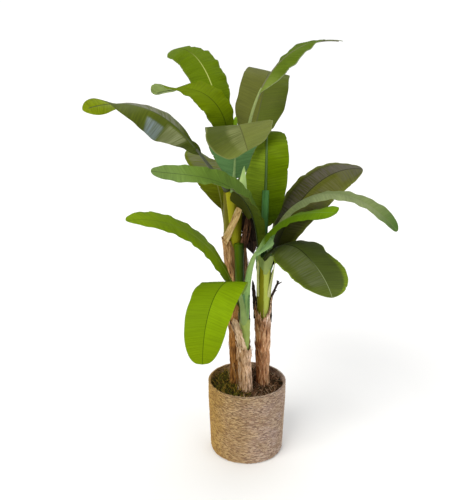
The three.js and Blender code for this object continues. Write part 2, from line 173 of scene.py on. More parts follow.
@dataclass
class Draft:
    """One mesh in the making: points, faces, the finish of each face and two texture maps."""

    points: list = field(default_factory=list)
    faces: list = field(default_factory=list)
    slots: list = field(default_factory=list)
    veins: list = field(default_factory=list)
    share: list = field(default_factory=list)
    count: int = 0

    def add_points(self, grid: Array) -> Array:
        """Adds points.

        Args:
            grid: places, with x, y and z along the last axis.

        Returns:
            Their numbers, in the grid's own shape.
        """
        flat = grid.reshape(-1, 3)
        numbers = np.arange(self.count, self.count + len(flat)).reshape(grid.shape[:-1])
        self.points.append(flat)
        self.count += len(flat)
        return numbers

    def add_quads(self, ids: Array, veins: Array, share: Array, slot: int) -> None:
        """Adds the faces between the rows and columns of a grid of point numbers.

        Args:
            ids: point numbers, rows by columns; a repeated column closes a ring.
            veins: first texture map at each grid place.
            share: second texture map at each grid place.
            slot: number of the faces' finish.
        """
        pick = lambda a: np.stack([a[:-1, :-1], a[:-1, 1:], a[1:, 1:], a[1:, :-1]], axis=2)
        quads = pick(ids).reshape(-1, 4)
        self.faces.extend(quads.tolist())
        self.slots.extend([slot] * len(quads))
        self.veins.append(pick(veins).reshape(-1, 2))
        self.share.append(pick(share).reshape(-1, 2))

    def add_cap(self, ids: Array, slot: int) -> None:
        """Closes a ring of points with one flat face.

        Args:
            ids: numbers of the points, in order.
            slot: number of the face's finish.
        """
        self.faces.append(ids.tolist())
        self.slots.append(slot)
        self.veins.append(np.zeros((len(ids), 2)))
        self.share.append(np.full((len(ids), 2), 0.5))

    def add_ring_grid(self, grid: Array, slot: int, share: Array | None = None) -> None:
        """Adds closed rings joined along their length, with both ends closed and texture in metres.

        Args:
            grid: rings by points round each ring.
            slot: number of the faces' finish.
            share: second texture map at each place, or None to repeat the first.
        """
        ids = self.add_points(grid)
        ring = np.concatenate([ids, ids[:, :1]], axis=1)
        loop = np.concatenate([grid, grid[:, :1]], axis=1)
        step = np.linalg.norm(np.diff(loop, axis=1), axis=2).mean(axis=0)
        around = np.concatenate([[0.0], np.cumsum(step)])
        run = np.linalg.norm(np.diff(grid.mean(axis=1), axis=0), axis=1)
        along = np.concatenate([[0.0], np.cumsum(run)])
        place = np.stack(np.broadcast_arrays(around[None, :], along[:, None]), axis=2)
        self.add_quads(ring, place, place if share is None else share, slot)
        self.add_cap(ids[0], slot)
        self.add_cap(ids[-1], slot)

    def add_sheet(self, upper: Array, lower: Array, veins: Array,
                  share: Array, slots: tuple[int, int]) -> None:
        """Adds a closed thin sheet between two grids of the same shape.

        Args:
            upper: points of the upper face, rows by columns.
            lower: points of the lower face.
            veins: first texture map at each grid place.
            share: second texture map at each grid place.
            slots: finish numbers of the upper and the lower face.
        """
        top, under = self.add_points(upper), self.add_points(lower)
        self.add_quads(top, veins, share, slots[0])
        self.add_quads(under[:, ::-1], veins[:, ::-1], share[:, ::-1], slots[1])
        for pick in (np.s_[:, 0], np.s_[:, -1], np.s_[0, :], np.s_[-1, :]):
            edge = np.stack([top[pick], under[pick]], axis=1)
            pair = lambda a: np.stack([a[pick], a[pick]], axis=1)
            self.add_quads(edge, pair(veins), pair(share), slots[0])

    def make(self, name: str, finishes: list, crease: float) -> Piece:
        """Turns the draft into an object at the origin.

        Args:
            name: the object's name.
            finishes: one material for each slot number.
            crease: angle past which an edge stays sharp.

        Returns:
            The new object, linked to the scene, with its faces pointing outwards.
        """
        mesh = bpy.data.meshes.new(name)
        mesh.from_pydata(np.concatenate(self.points).tolist(), [], self.faces)
        for title, parts in (("veins", self.veins), ("share", self.share)):
            layer = mesh.uv_layers.new(name=title)
            layer.data.foreach_set("uv", np.concatenate(parts).astype(np.float32).ravel())
        mesh.polygons.foreach_set("material_index", np.array(self.slots, np.int32))
        for finish in finishes:
            mesh.materials.append(finish)
        shell = bmesh.new()
        shell.from_mesh(mesh)
        bmesh.ops.recalc_face_normals(shell, faces=shell.faces)
        shell.to_mesh(mesh)
        shell.free()
        mesh.shade_smooth()
        mesh.set_sharp_from_angle(angle=math.radians(crease))
        return add_object(name, mesh)

    def dress(self, name: str, finish: "FibreFinish | StemFinish | RopeFinish", crease: float, slot: str,
              *nodes: str) -> Piece:
        """Turns the draft into a seated piece with one finish all over.

        Args:
            name: the object's name.
            finish: its finish.
            crease: angle past which an edge stays sharp.
            slot: passed on to seat, which does not use it.
            nodes: CAD nodes that it stands for.

        Returns:
            The seated piece.
        """
        return seat(self.make(name, [finish.material()], crease), slot, *nodes)


INPUT_KINDS = {int: "Int", float: "Float", tuple: "Color", type(None): "Vector"}
PLAIN = (0.1, 0.2, 0.0, 1.0)


class NodeBoard:
    """Adds and links nodes on one node tree."""

    def __init__(self, tree: Tree) -> None:
        """Keeps the tree."""
        self.tree = tree

    def add(self, kind: str, inputs: dict | None = None, **settings: object) -> bpy.types.Node:
        """Adds a node.

        Args:
            kind: Blender's name of the node type.
            inputs: value or feeding socket by input name or number.
            settings: properties of the node.

        Returns:
            The new node.
        """
        node = self.tree.nodes.new(kind)
        for key, value in settings.items():
            setattr(node, key, value)
        for key, value in (inputs or {}).items():
            self.feed(node.inputs[key], value)
        return node

    def feed(self, socket: Socket, value: object) -> None:
        """Links a socket to an input, or sets the input's value.

        Args:
            socket: the input.
            value: the feeding socket, or a value; a colour may leave out its alpha.
        """
        if isinstance(value, Socket):
            self.tree.links.new(value, socket)
        elif socket.type == "RGBA" and len(value) == 3:
            socket.default_value = (*value, 1.0)
        else:
            socket.default_value = value

    def first(self, kind: str, inputs: dict | None = None, **settings: object) -> Socket:
        """First output of a new node, which is made as add makes it."""
        return self.add(kind, inputs, **settings).outputs[0]

    def math(self, operation: str, *values: object) -> Socket:
        """Result of a Math node."""
        return self.first("ShaderNodeMath", dict(enumerate(values)), operation=operation)

    def times(self, a: object, b: object) -> Socket:
        """Product of two values."""
        return self.math("MULTIPLY", a, b)

    def plus(self, a: object, b: object) -> Socket:
        """Sum of two values."""
        return self.math("ADD", a, b)

    def minus(self, a: object, b: object) -> Socket:
        """First value less the second."""
        return self.math("SUBTRACT", a, b)

    def split(self, place: object) -> bpy.types.NodeOutputs:
        """Parts of a place, by axis letter."""
        return self.add("ShaderNodeSeparateXYZ", {0: place}).outputs

    def join(self, x: object = 0.0, y: object = 0.0, z: object = 0.0) -> Socket:
        """Place made of three parts."""
        return self.first("ShaderNodeCombineXYZ", {0: x, 1: y, 2: z})

    def blend(self, factor: object, a: object, b: object, kind: str = "MIX") -> Socket:
        """Colour between a and b."""
        inputs = {0: factor, 6: a, 7: b}
        return self.add("ShaderNodeMix", inputs, data_type="RGBA", blend_type=kind).outputs[2]

    def fade(self, value: object, low: object, high: object, a: object, b: object) -> Socket:
        """Colour that goes from a to b while a value goes from low to high."""
        return self.blend(self.ramp(value, low, high), a, b)

    def ramp(self, value: object, low: object, high: object, to: Pair = (0.0, 1.0)) -> Socket:
        """Eased share of the way that a value is from low to high, scaled to a range."""
        inputs = {0: value, 1: low, 2: high, 3: to[0], 4: to[1]}
        return self.first("ShaderNodeMapRange", inputs, interpolation_type="SMOOTHSTEP")

    def noise(self, place: object, scale: object, detail: float = 2.0, roughness: float = 0.5) -> Socket:
        """Noise value from 0 to 1 at a place."""
        inputs = {"Vector": place, "Scale": scale, "Detail": detail, "Roughness": roughness}
        return self.first("ShaderNodeTexNoise", inputs)

    def stretch(self, place: object, scale: Place) -> Socket:
        """A place with each axis scaled by its own number."""
        return self.first("ShaderNodeVectorMath", {0: place, 1: scale}, operation="MULTIPLY")

    def ask_for(self, asks: dict[str, object]) -> dict[str, str]:
        """Gives the tree its named inputs.

        Args:
            asks: default by input name, or None for a vector.

        Returns:
            Identifier by input name.
        """
        keys = {}
        for title, default in asks.items():
            kind = INPUT_KINDS[type(default)]
            socket = self.tree.interface.new_socket(title, in_out="INPUT", socket_type=f"NodeSocket{kind}")
            if default is not None:
                socket.default_value = default
            keys[title] = socket.identifier
        return keys


class GroupBoard(NodeBoard):
    """A shader node group in the making, with named inputs and outputs."""

    def __init__(self, name: str, asks: dict[str, object]) -> None:
        """Makes the group and its inputs.

        Args:
            name: the group's name.
            asks: default by input name, or None for a vector.
        """
        super().__init__(bpy.data.node_groups.new(name, "ShaderNodeTree"))
        self.ask_for(asks)
        self.asked = self.tree.nodes.new("NodeGroupInput").outputs

    def give(self, colour: Socket, height: Socket | None = None) -> Tree:
        """Puts out the group's results.

        Args:
            colour: the resulting colour.
            height: height for bumps, where the group has one.

        Returns:
            The group.
        """
        results = [("Colour", "Color", colour), ("Height", "Float", height)][:1 if height is None else 2]
        for title, kind, _ in results:
            self.tree.interface.new_socket(title, in_out="OUTPUT", socket_type=f"NodeSocket{kind}")
        given = self.tree.nodes.new("NodeGroupOutput").inputs
        for title, _, socket in results:
            self.feed(given[title], socket)
        return self.tree


def build_veins() -> Tree:
    """Parallel side veins that run out from a leaf's rib, at two widths.

    Returns:
        The group, with a colour and a height.
    """
    board = GroupBoard("side_veins", {"Place": None, "Pitch": 0.0034, "Colour": PLAIN, "Contrast": 0.3})
    ask = board.asked
    part = board.split(ask["Place"])
    count = board.math("DIVIDE", part["Y"], ask["Pitch"])
    slow = board.times(part["X"], 9.0)
    fine = board.noise(board.join(slow, count), 1.0, 1.0)
    wide = board.noise(board.join(slow, board.times(count, 0.33), 7.0), 1.0, 1.0)
    both = board.plus(board.times(fine, 0.72), board.times(wide, 0.28))
    tone = board.minus(board.ramp(both, 0.34, 0.66), 0.5)
    gain = board.math("MULTIPLY_ADD", tone, ask["Contrast"], 1.0)
    colour = board.first("ShaderNodeVectorMath", {0: ask["Colour"], 3: gain}, operation="SCALE")
    return board.give(colour, both)


def build_sheen() -> Tree:
    """Pale streaks between the side veins over one stretch of a blade, on one half or both: mostly painted
    highlights and reflections of the lamps.

    Returns:
        The group, with a colour.
    """
    board = GroupBoard("vein_sheen", {
        "Place": None, "Share": None, "Colour": PLAIN, "Sheen": PLAIN, "Amount": 0.5, "Start": 0.2,
        "End": 0.8, "Near": 0.0, "Far": 1.0, "Side": 0.0, "Width": 0.008, "Edge": 0.12})
    ask = board.asked
    place, share = board.split(ask["Place"]), board.split(ask["Share"])
    count = board.math("DIVIDE", place["Y"], ask["Width"])
    streak = board.noise(board.join(board.times(place["X"], 12.0), count, 3.0), 1.0, 1.0)
    lit = board.ramp(streak, 0.36, 0.62, (0.25, 1.0))
    centred = board.math("MULTIPLY_ADD", share["X"], 2.0, -1.0)
    away = board.math("ABSOLUTE", centred)
    along = board.times(board.ramp(share["Y"], board.minus(ask["Start"], ask["Edge"]), ask["Start"]),
                        board.ramp(share["Y"], board.plus(ask["End"], ask["Edge"]), ask["End"]))
    across = board.times(board.ramp(away, board.minus(ask["Near"], 0.15), ask["Near"]),
                         board.ramp(away, board.plus(ask["Far"], 0.2), ask["Far"]))
    half = board.ramp(board.times(centred, ask["Side"]), -0.04, 0.04)
    either = board.minus(1.0, board.math("ABSOLUTE", ask["Side"]))
    chosen = board.math("MAXIMUM", half, either)
    mask = board.times(board.times(along, across), board.times(chosen, lit))
    return board.give(board.blend(board.times(mask, ask["Amount"]), ask["Colour"], ask["Sheen"]))


def build_fibres() -> Tree:
    """Long fibres in three tones, with a height for bumps.

    Returns:
        The group, with a colour and a height.
    """
    board = GroupBoard("long_fibres", {"Place": None, "Dark": PLAIN, "Middle": PLAIN, "Light": PLAIN})
    ask = board.asked
    broad = board.noise(board.stretch(ask["Place"], (85.0, 17.0, 1.0)), 1.0, 3.0, 0.6)
    narrow = board.noise(board.stretch(ask["Place"], (260.0, 34.0, 1.0)), 1.0, 3.0, 0.65)
    both = board.plus(board.times(broad, 0.55), board.times(narrow, 0.45))
    dark = board.ramp(board.minus(both, 0.025), 0.45, 0.38)
    colour = board.fade(both, 0.48, 0.6, ask["Middle"], ask["Light"])
    return board.give(board.blend(dark, colour, ask["Dark"]), both)


def build_mottle() -> Tree:
    """Soft patches that shift one colour towards another.

    Returns:
        The group, with a colour.
    """
    board = GroupBoard("soft_mottle", {
        "Place": None, "Scale": 8.0, "Colour": PLAIN, "Patch": PLAIN, "Amount": 0.5})
    ask = board.asked
    patch = board.ramp(board.noise(ask["Place"], ask["Scale"], 3.0), 0.42, 0.68)
    return board.give(board.blend(board.times(patch, ask["Amount"]), ask["Colour"], ask["Patch"]))


VEINS = build_veins()
SHEEN = build_sheen()
FIBRES = build_fibres()
MOTTLE = build_mottle()


class Surface(NodeBoard):
    """A material in the making round one Principled shader."""

    def __init__(self, name: str, roughness: float, specular: float) -> None:
        """Makes the material.

        Args:
            name: the material's name.
            roughness: roughness all over.
            specular: specular level all over.
        """
        self.material = bpy.data.materials.new(name)
        self.material.use_nodes = True
        super().__init__(self.material.node_tree)
        self.shader = self.tree.nodes["Principled BSDF"]
        self.shader.inputs["Roughness"].default_value = roughness
        self.shader.inputs["Specular IOR Level"].default_value = specular

    def group(self, tree: Tree, **inputs: object) -> bpy.types.NodeOutputs:
        """Places a node group and returns its outputs."""
        return self.add("ShaderNodeGroup", inputs, node_tree=tree).outputs

    def mottle(self, colour: object, patch: Colour, scale: float, amount: float) -> Socket:
        """Colour with soft patches of another on it."""
        return self.group(MOTTLE, Place=self.here(), Scale=scale, Colour=colour, Patch=patch,
                          Amount=amount)[0]

    def map(self, title: str) -> Socket:
        """The piece's own texture map of that name."""
        return self.first("ShaderNodeUVMap", uv_map=title)

    def here(self) -> Socket:
        """Object coordinates."""
        return self.add("ShaderNodeTexCoord").outputs["Object"]

    def paint(self, colour: object, height: object = None, distance: float = 0.001,
              strength: float = 0.5) -> Material:
        """Feeds the shader its colour and bump.

        Args:
            colour: base colour or the socket that gives it.
            height: socket with the bump's height, or None for no bump.
            distance: depth of the bump in metres.
            strength: how far the bump turns the normal.

        Returns:
            The finished material.
        """
        self.feed(self.shader.inputs["Base Color"], colour)
        if height is not None:
            inputs = {"Height": height, "Distance": distance, "Strength": strength}
            self.feed(self.shader.inputs["Normal"], self.first("ShaderNodeBump", inputs))
        return self.material


class Half(Enum):
    """Halves of a blade as seen from its petiole."""

    LEFT = -1.0
    BOTH = 0.0
    RIGHT = 1.0


@dataclass(frozen=True)
class Sheen:
    """Pale or dark streaks over part of a blade's upper face. Most paint glossy highlights, lit bands and
    reflections of the lamps; the lime streaks near the edge of lime_edged add to its own lime edge.
    """

    colour: Colour
    amount: float
    along: Pair = (0.2, 0.8)
    across: Pair = (0.0, 1.0)
    half: Half = Half.BOTH
    width: float = 0.008
    edge: float = 0.12


@dataclass(frozen=True)
class LeafFinish:
    """Colours of one leaf: upper face from base to tip, underside, rib and petiole."""

    name: str
    upper: Colour
    # base: colour towards the petiole; where darker than upper it is painted shade under the crown and the
    # leaves above, where paler it is the leaf's own paler base.
    base: Colour
    tip: Colour
    under: Colour
    rib: Colour
    rib_tip: Colour | None = None
    line: float = 0.0024
    spine: Colour | None = None
    stalk: Colour = (0.16, 0.3, 0.08)
    # stalk_base: colour of the petiole's lower part; the near-black green of ribbed_green is painted shade
    # where the petiole runs down among the stems.
    stalk_base: Colour | None = None
    # right: colour of the right half's upper face; the difference between the halves is painted light and
    # shade on a folded blade.
    right: Colour | None = None
    # margin, rim: band along both edges of the blade; partly the leaf's own edge colour, as the lime edge of
    # lime_edged, partly a painted highlight where the edge catches the light.
    margin: Colour | None = None
    rim: float = 0.93
    # Painted highlights and reflections, as Sheen describes them.
    sheens: tuple[Sheen, ...] = ()
    gloss: float = 0.5
    shine: float = 0.03
    under_shine: float = 0.05
    veining: float = 0.22
    base_from: float = 0.0
    base_to: float = 0.3
    tip_from: float = 0.72
    PITCH = 0.0034

    def face(self, side: str, middle: Colour, base: Colour, tip: Colour, shine: float) -> Material:
        """Material of one face of the blade.

        Args:
            side: word for the face, part of the material's name.
            middle: colour over most of the blade.
            base: colour at the petiole.
            tip: colour at the tip.
            shine: specular level.

        Returns:
            The finished material.
        """
        surface = Surface(f"{self.name}_{side}", self.gloss, shine)
        place, shares = surface.map("veins"), surface.map("share")
        share = surface.split(shares)
        colour = middle
        # Painted light and shade: the right half of the upper face takes its own lighter or darker colour.
        if side == "upper" and self.right:
            colour = surface.fade(share["X"], 0.47, 0.53, middle, self.right)
        # Towards the petiole: painted shade where the base is darker, the leaf's own paler base where it is
        # lighter.
        colour = surface.fade(share["Y"], self.base_from, self.base_to, base, colour)
        colour = surface.fade(share["Y"], self.tip_from, 1.0, colour, tip)
        colour = surface.mottle(colour, dim(middle, 0.72), 9.0, 0.4)
        # Painted highlights and reflections laid over the upper face.
        for sheen in self.sheens if side == "upper" else ():
            colour = surface.group(
                SHEEN, Place=place, Share=shares, Colour=colour, Sheen=sheen.colour,
                Amount=sheen.amount, Start=sheen.along[0], End=sheen.along[1], Near=sheen.across[0],
                Far=sheen.across[1], Side=sheen.half.value, Width=sheen.width, Edge=sheen.edge)[0]
        # Edge band: partly the leaf's own edge colour, partly a painted highlight on the lit edge.
        if self.margin:
            edge = surface.math("ABSOLUTE", surface.math("MULTIPLY_ADD", share["X"], 2.0, -1.0))
            colour = surface.blend(surface.ramp(edge, self.rim, 1.0, (0.0, 0.8)), colour, self.margin)
        veins = surface.group(VEINS, Place=place, Pitch=self.PITCH, Colour=colour,
                              Contrast=self.veining)
        colour = veins["Colour"]
        if side == "upper":
            off = surface.math("ABSOLUTE", surface.split(place)["X"])
            reach = surface.ramp(share["Y"], 0.0, 1.0, (self.line, self.line * 0.45))
            line = surface.ramp(surface.math("DIVIDE", off, reach), 1.15, 0.75)
            tone = surface.fade(share["Y"], 0.45, 0.8, self.rib, self.rib_tip or self.rib)
            colour = surface.blend(line, colour, tone)
        return surface.paint(colour, veins["Height"], 0.0014, 0.55)

    def stalk_material(self, part: str, colour: Colour) -> Material:
        """Material of the petiole tube or of the rib.

        Args:
            part: word for the part, part of the material's name.
            colour: its colour.

        Returns:
            The finished material.
        """
        surface = Surface(f"{self.name}_{part}", 0.45, 0.12)
        soft = surface.mottle(colour, dim(colour, 0.6), 22.0, 0.5)
        place = surface.map("veins")
        # Lower petiole: its own colour, and painted shade on ribbed_green.
        if part == "stalk" and self.stalk_base:
            soft = surface.fade(surface.split(place)["Y"], 0.16, 0.34, self.stalk_base, soft)
        fine = surface.noise(surface.stretch(place, (900.0, 18.0, 1.0)), 1.0)
        return surface.paint(soft, fine, 0.0004, 0.4)

    def materials(self) -> list[Material]:
        """Makes the leaf's materials.

        Returns:
            Those of upper face, underside, rib and stalk, the order of the finish numbers.
        """
        return [
            self.face("upper", self.upper, self.base, self.tip, self.shine),
            # The underside is painted a fifth darker towards the petiole, a painted shade.
            self.face("under", self.under, dim(self.under, 0.8), self.under, self.under_shine),
            self.stalk_material("rib", self.spine or self.stalk),
            self.stalk_material("stalk", self.stalk),
        ]


@dataclass(frozen=True)
class FibreFinish:
    """Matt fibrous surface in three tones, on the piece's own texture map."""

    name: str
    dark: Colour
    middle: Colour
    light: Colour
    # left, right: tints either side of x = centre; they paint coloured light, warm from the left and cooler
    # or pinkish from the right.
    left: Colour = (1.0, 1.0, 1.0)
    right: Colour = (1.0, 1.0, 1.0)
    centre: float = 0.0
    half: float = 0.03
    low: Colour = (1.0, 1.0, 1.0)
    high: Colour = (1.0, 1.0, 1.0)
    level: float = 0.5

    def material(self) -> Material:
        """Makes the material.

        Returns:
            The finished material.
        """
        surface = Surface(self.name, 0.85, 0.2)
        fibres = surface.group(FIBRES, Place=surface.map("veins"), Dark=self.dark,
                               Middle=self.middle, Light=self.light)
        colour = surface.mottle(fibres["Colour"], dim(self.middle, 0.45), 26.0, 0.6)
        spot = surface.split(surface.here())
        # Painted light: a warm tint on the left of the stem, a cooler one on the right.
        side = surface.ramp(spot["X"], self.centre - self.half, self.centre + self.half)
        height = surface.ramp(spot["Z"], self.level - 0.05, self.level + 0.05)
        tint = surface.blend(1.0, surface.blend(side, self.left, self.right),
                             surface.blend(height, self.low, self.high), "MULTIPLY")
        return surface.paint(surface.blend(1.0, colour, tint, "MULTIPLY"), fibres["Height"], 0.003, 0.9)


@dataclass(frozen=True)
class StemFinish:
    """Smooth coated stem with fine lengthwise streaks between two greens."""

    name: str
    ground: Colour
    streak: Colour
    edge: Colour
    wrap: Colour | None = None
    spread: float = 0.5

    def material(self) -> Material:
        """Makes the material.

        Returns:
            The finished material.
        """
        surface = Surface(self.name, 0.45, 0.1)
        place = surface.map("veins")
        broad = surface.noise(surface.stretch(place, (55.0, 2.5, 1.0)), 1.0, 3.0, 0.6)
        fine = surface.noise(surface.stretch(place, (700.0, 9.0, 1.0)), 1.0, 2.0)
        colour = surface.fade(broad, 0.38, 0.62, self.ground, self.streak)
        colour = surface.blend(surface.ramp(fine, 0.55, 0.8, (0.0, 0.5)), colour, self.edge)
        colour = surface.mottle(colour, dim(self.ground, 0.55), 14.0, 0.45)
        if self.wrap:
            phase = surface.split(surface.map("share"))["X"]
            colour = surface.fade(phase, self.spread * 0.4, self.spread, self.wrap, colour)
        return surface.paint(colour, fine, 0.0008, 0.5)


@dataclass(frozen=True)
class TuftFinish:
    """Plain fibres or moss, with a slight change of tone from place to place."""

    name: str
    colour: Colour
    patch: Colour

    def material(self) -> Material:
        """Makes the material.

        Returns:
            The finished material.
        """
        surface = Surface(self.name, 0.9, 0.15)
        colour = surface.mottle(self.colour, self.patch, 60.0, 0.8)
        return surface.paint(colour, surface.noise(surface.here(), 900.0, 3.0), 0.0012, 0.7)


@dataclass(frozen=True)
class RopeFinish:
    """Dry seagrass with grain round the basket; a golden tint on one side and a pinkish one on the other
    paint the coloured light falling from the left and the right.
    """

    name: str
    colour: Colour
    patch: Colour
    warm_light_tint: Colour = (0.98, 0.9, 0.52)
    pinkish_light_tint: Colour = (1.14, 1.24, 1.8)

    def material(self) -> Material:
        """Makes the material.

        Returns:
            The finished material.
        """
        surface = Surface(self.name, 0.78, 0.25)
        part = surface.split(surface.here())
        angle = surface.math("ARCTAN2", part["Y"], part["X"])
        grain = surface.noise(surface.stretch(surface.join(angle, part["Z"]), (36.0, 1500.0, 1.0)), 1.0)
        colour = surface.fade(grain, 0.35, 0.7, dim(self.colour, 0.72), self.colour)
        colour = surface.mottle(colour, self.patch, 16.0, 0.6)
        # Painted light: warm tint on the left of the basket, pinkish on the right.
        tint = surface.fade(part["X"], -0.15, -0.04, self.warm_light_tint, (1.0, 1.0, 1.0))
        tint = surface.fade(part["X"], -0.07, 0.12, tint, self.pinkish_light_tint)
        return surface.paint(surface.blend(1.0, colour, tint, "MULTIPLY"), grain, 0.0008, 0.6)


class GrowthBoard(NodeBoard):
    """A geometry node tree in the making, with named inputs."""

    def __init__(self, name: str, asks: dict[str, object]) -> None:
        """Makes the tree and its inputs, with the finish as the last one.

        Args:
            name: the tree's name.
            asks: default by input name.
        """
        super().__init__(bpy.data.node_groups.new(name, "GeometryNodeTree"))
        face = self.tree.interface
        for way in ("INPUT", "OUTPUT"):
            face.new_socket("Geometry", in_out=way, socket_type="NodeSocketGeometry")
        self.keys = self.ask_for(asks)
        finish = face.new_socket("Finish", in_out="INPUT", socket_type="NodeSocketMaterial")
        self.keys["Finish"] = finish.identifier
        self.asked = self.tree.nodes.new("NodeGroupInput").outputs

    def chance(self, low: float, high: float, shift: float, number: object = None) -> Socket:
        """Random value for each element.

        Args:
            low: least value.
            high: greatest value.
            shift: what is added to the asked seed.
            number: the element's own number, or None for its place in the row.

        Returns:
            The value.
        """
        node = self.add("FunctionNodeRandomValue", {
            2: low, 3: high, 8: self.plus(self.asked["Seed"], shift)}, data_type="FLOAT")
        if number is not None:
            self.feed(node.inputs[7], number)
        return node.outputs[1]

    def scatter(self, density: str) -> bpy.types.NodeOutputs:
        """Spreads points over the mesh.

        Args:
            density: name of the input that gives their number on a square metre.

        Returns:
            The points first, then the mesh's normals and turns at them.
        """
        return self.add("GeometryNodeDistributePointsOnFaces", {
            "Mesh": self.asked["Geometry"], "Density": self.asked[density],
            "Seed": self.asked["Seed"]}).outputs

    def strand(self, foot: Place, middle: Socket, tip: Socket, steps: int) -> Socket:
        """Bent three-sided strand of the asked thickness.

        Args:
            foot: where it starts.
            middle: point that its bend is drawn towards.
            tip: where it ends.
            steps: number of straight steps.

        Returns:
            The strand's mesh.
        """
        line = self.first("GeometryNodeCurveQuadraticBezier", {
            "Resolution": steps, "Start": foot, "Middle": middle, "End": tip})
        ring = self.first("GeometryNodeCurvePrimitiveCircle", {"Resolution": 3})
        size = self.join(self.asked["Thickness"], self.asked["Thickness"], 1.0)
        thin = self.first("GeometryNodeTransform", {"Geometry": ring, "Scale": size})
        return self.first("GeometryNodeCurveToMesh", {
            "Curve": line, "Profile Curve": thin, "Fill Caps": True})

    def end(self, **copying: object) -> "GrowthBoard":
        """Copies a shape onto points, makes the copies real and gives them the asked finish.

        Args:
            copying: inputs of the node that copies.

        Returns:
            The finished tree's board.
        """
        copies = self.first("GeometryNodeInstanceOnPoints", copying)
        solid = self.first("GeometryNodeRealizeInstances", {0: copies})
        dressed = self.first("GeometryNodeSetMaterial", {0: solid, 2: self.asked["Finish"]})
        self.feed(self.tree.nodes.new("NodeGroupOutput").inputs[0], dressed)
        return self

    def grow(self, name: str, carrier: bpy.types.Mesh, finish: Material, **values: object) -> Piece:
        """Runs the tree on a mesh and keeps the result as a plain mesh.

        Args:
            name: name of the new object.
            carrier: mesh that the tree starts from; it stays as it is.
            finish: material of the result.
            values: inputs by name, with _ for a space.

        Returns:
            The new object, linked to the scene.
        """
        carrying = add_object(name + "_carrier", carrier)
        modifier = carrying.modifiers.new("growth", "NODES")
        modifier.node_group = self.tree
        for title, value in {"Finish": finish, **values}.items():
            modifier[self.keys[title.replace("_", " ")]] = value
        ready = carrying.evaluated_get(bpy.context.evaluated_depsgraph_get())
        mesh = bpy.data.meshes.new_from_object(ready)
        carrying.modifiers.remove(modifier)
        bpy.data.objects.remove(carrying)
        mesh.name = name
        mesh.shade_smooth()
        return add_object(name, mesh)


def build_rope_tree() -> GrowthBoard:
    """Rows of slanted strands, one row for each point of a wall's profile at (radius, 0, height).

    Returns:
        The finished tree's board.
    """
    board = GrowthBoard("rope_rows", {
        "Strands Per Row": 140, "Strand Length": 0.01, "Strand Thickness": 0.005, "Slant": 0.5,
        "Tone From": 0.0, "Tone To": 1.0, "Seed": 1})
    ask = board.asked
    copies = board.add("GeometryNodeDuplicateElements", {
        "Geometry": ask["Geometry"], "Amount": ask["Strands Per Row"]}, domain="POINT").outputs
    place = board.split(board.first("GeometryNodeInputPosition"))
    row = board.math("ROUND", board.times(place["Z"], 20000.0))
    shift = board.chance(0.0, 1.0, 0.0, row)
    wander = board.chance(-0.22, 0.22, 5.0)
    number = board.plus(board.plus(copies["Duplicate Index"], shift), wander)
    angle = board.times(board.math("DIVIDE", number, ask["Strands Per Row"]), TAU)
    hold = board.add("GeometryNodeCaptureAttribute")
    hold.capture_items.new("FLOAT", "Angle")
    board.feed(hold.inputs[0], copies[0])
    board.feed(hold.inputs[1], angle)
    held = hold.outputs[1]
    radius = board.plus(place["X"], board.chance(-0.0007, 0.0007, 9.0))
    height = board.plus(place["Z"], board.chance(-0.001, 0.001, 12.0))
    spot = board.join(board.times(radius, board.math("COSINE", held)),
                      board.times(radius, board.math("SINE", held)), height)
    ringed = board.first("GeometryNodeSetPosition", {0: hold.outputs[0], 2: spot})
    tone = board.chance(0.0, 1.0, 2.0)
    chosen = board.times(board.math("GREATER_THAN", tone, ask["Tone From"]),
                         board.math("LESS_THAN", tone, ask["Tone To"]))
    bead = board.first("GeometryNodeMeshUVSphere", {"Segments": 6, "Rings": 4, "Radius": 0.5})
    size = board.join(ask["Strand Length"], ask["Strand Thickness"], ask["Strand Thickness"])
    strand = board.first("GeometryNodeTransform", {"Geometry": bead, "Scale": size})
    lean = board.plus(ask["Slant"], board.chance(-0.1, 0.1, 3.0))
    turn = board.join(0.0, lean, board.plus(held, math.pi / 2))
    rotation = board.first("FunctionNodeEulerToRotation", {0: turn})
    return board.end(Points=ringed, Selection=chosen, Instance=strand, Rotation=rotation,
                     Scale=board.chance(0.85, 1.15, 4.0))


def build_tuft_tree() -> GrowthBoard:
    """Short bent strands that stand or lie on a mesh, at random turns.

    Returns:
        The finished tree's board.
    """
    board = GrowthBoard("tufts", {
        "Strands Per Square Metre": 40000.0, "Length": 0.02, "Thickness": 0.0008, "Lie": 1.2,
        "Bend": 0.3, "Seed": 1})
    ask = board.asked
    middle = board.join(board.times(ask["Length"], ask["Bend"]), 0.0, board.times(ask["Length"], 0.5))
    strand = board.strand((0.0, 0.0, 0.0), middle, board.join(z=ask["Length"]), 3)
    tilt = board.times(ask["Lie"], board.chance(0.35, 1.1, 1.0))
    facing = board.join(tilt, 0.0, board.chance(0.0, TAU, 2.0))
    turn = board.first("FunctionNodeEulerToRotation", {0: facing})
    return board.end(Points=board.scatter("Strands Per Square Metre")[0], Instance=strand,
                     Rotation=turn, Scale=board.chance(0.5, 1.3, 3.0))


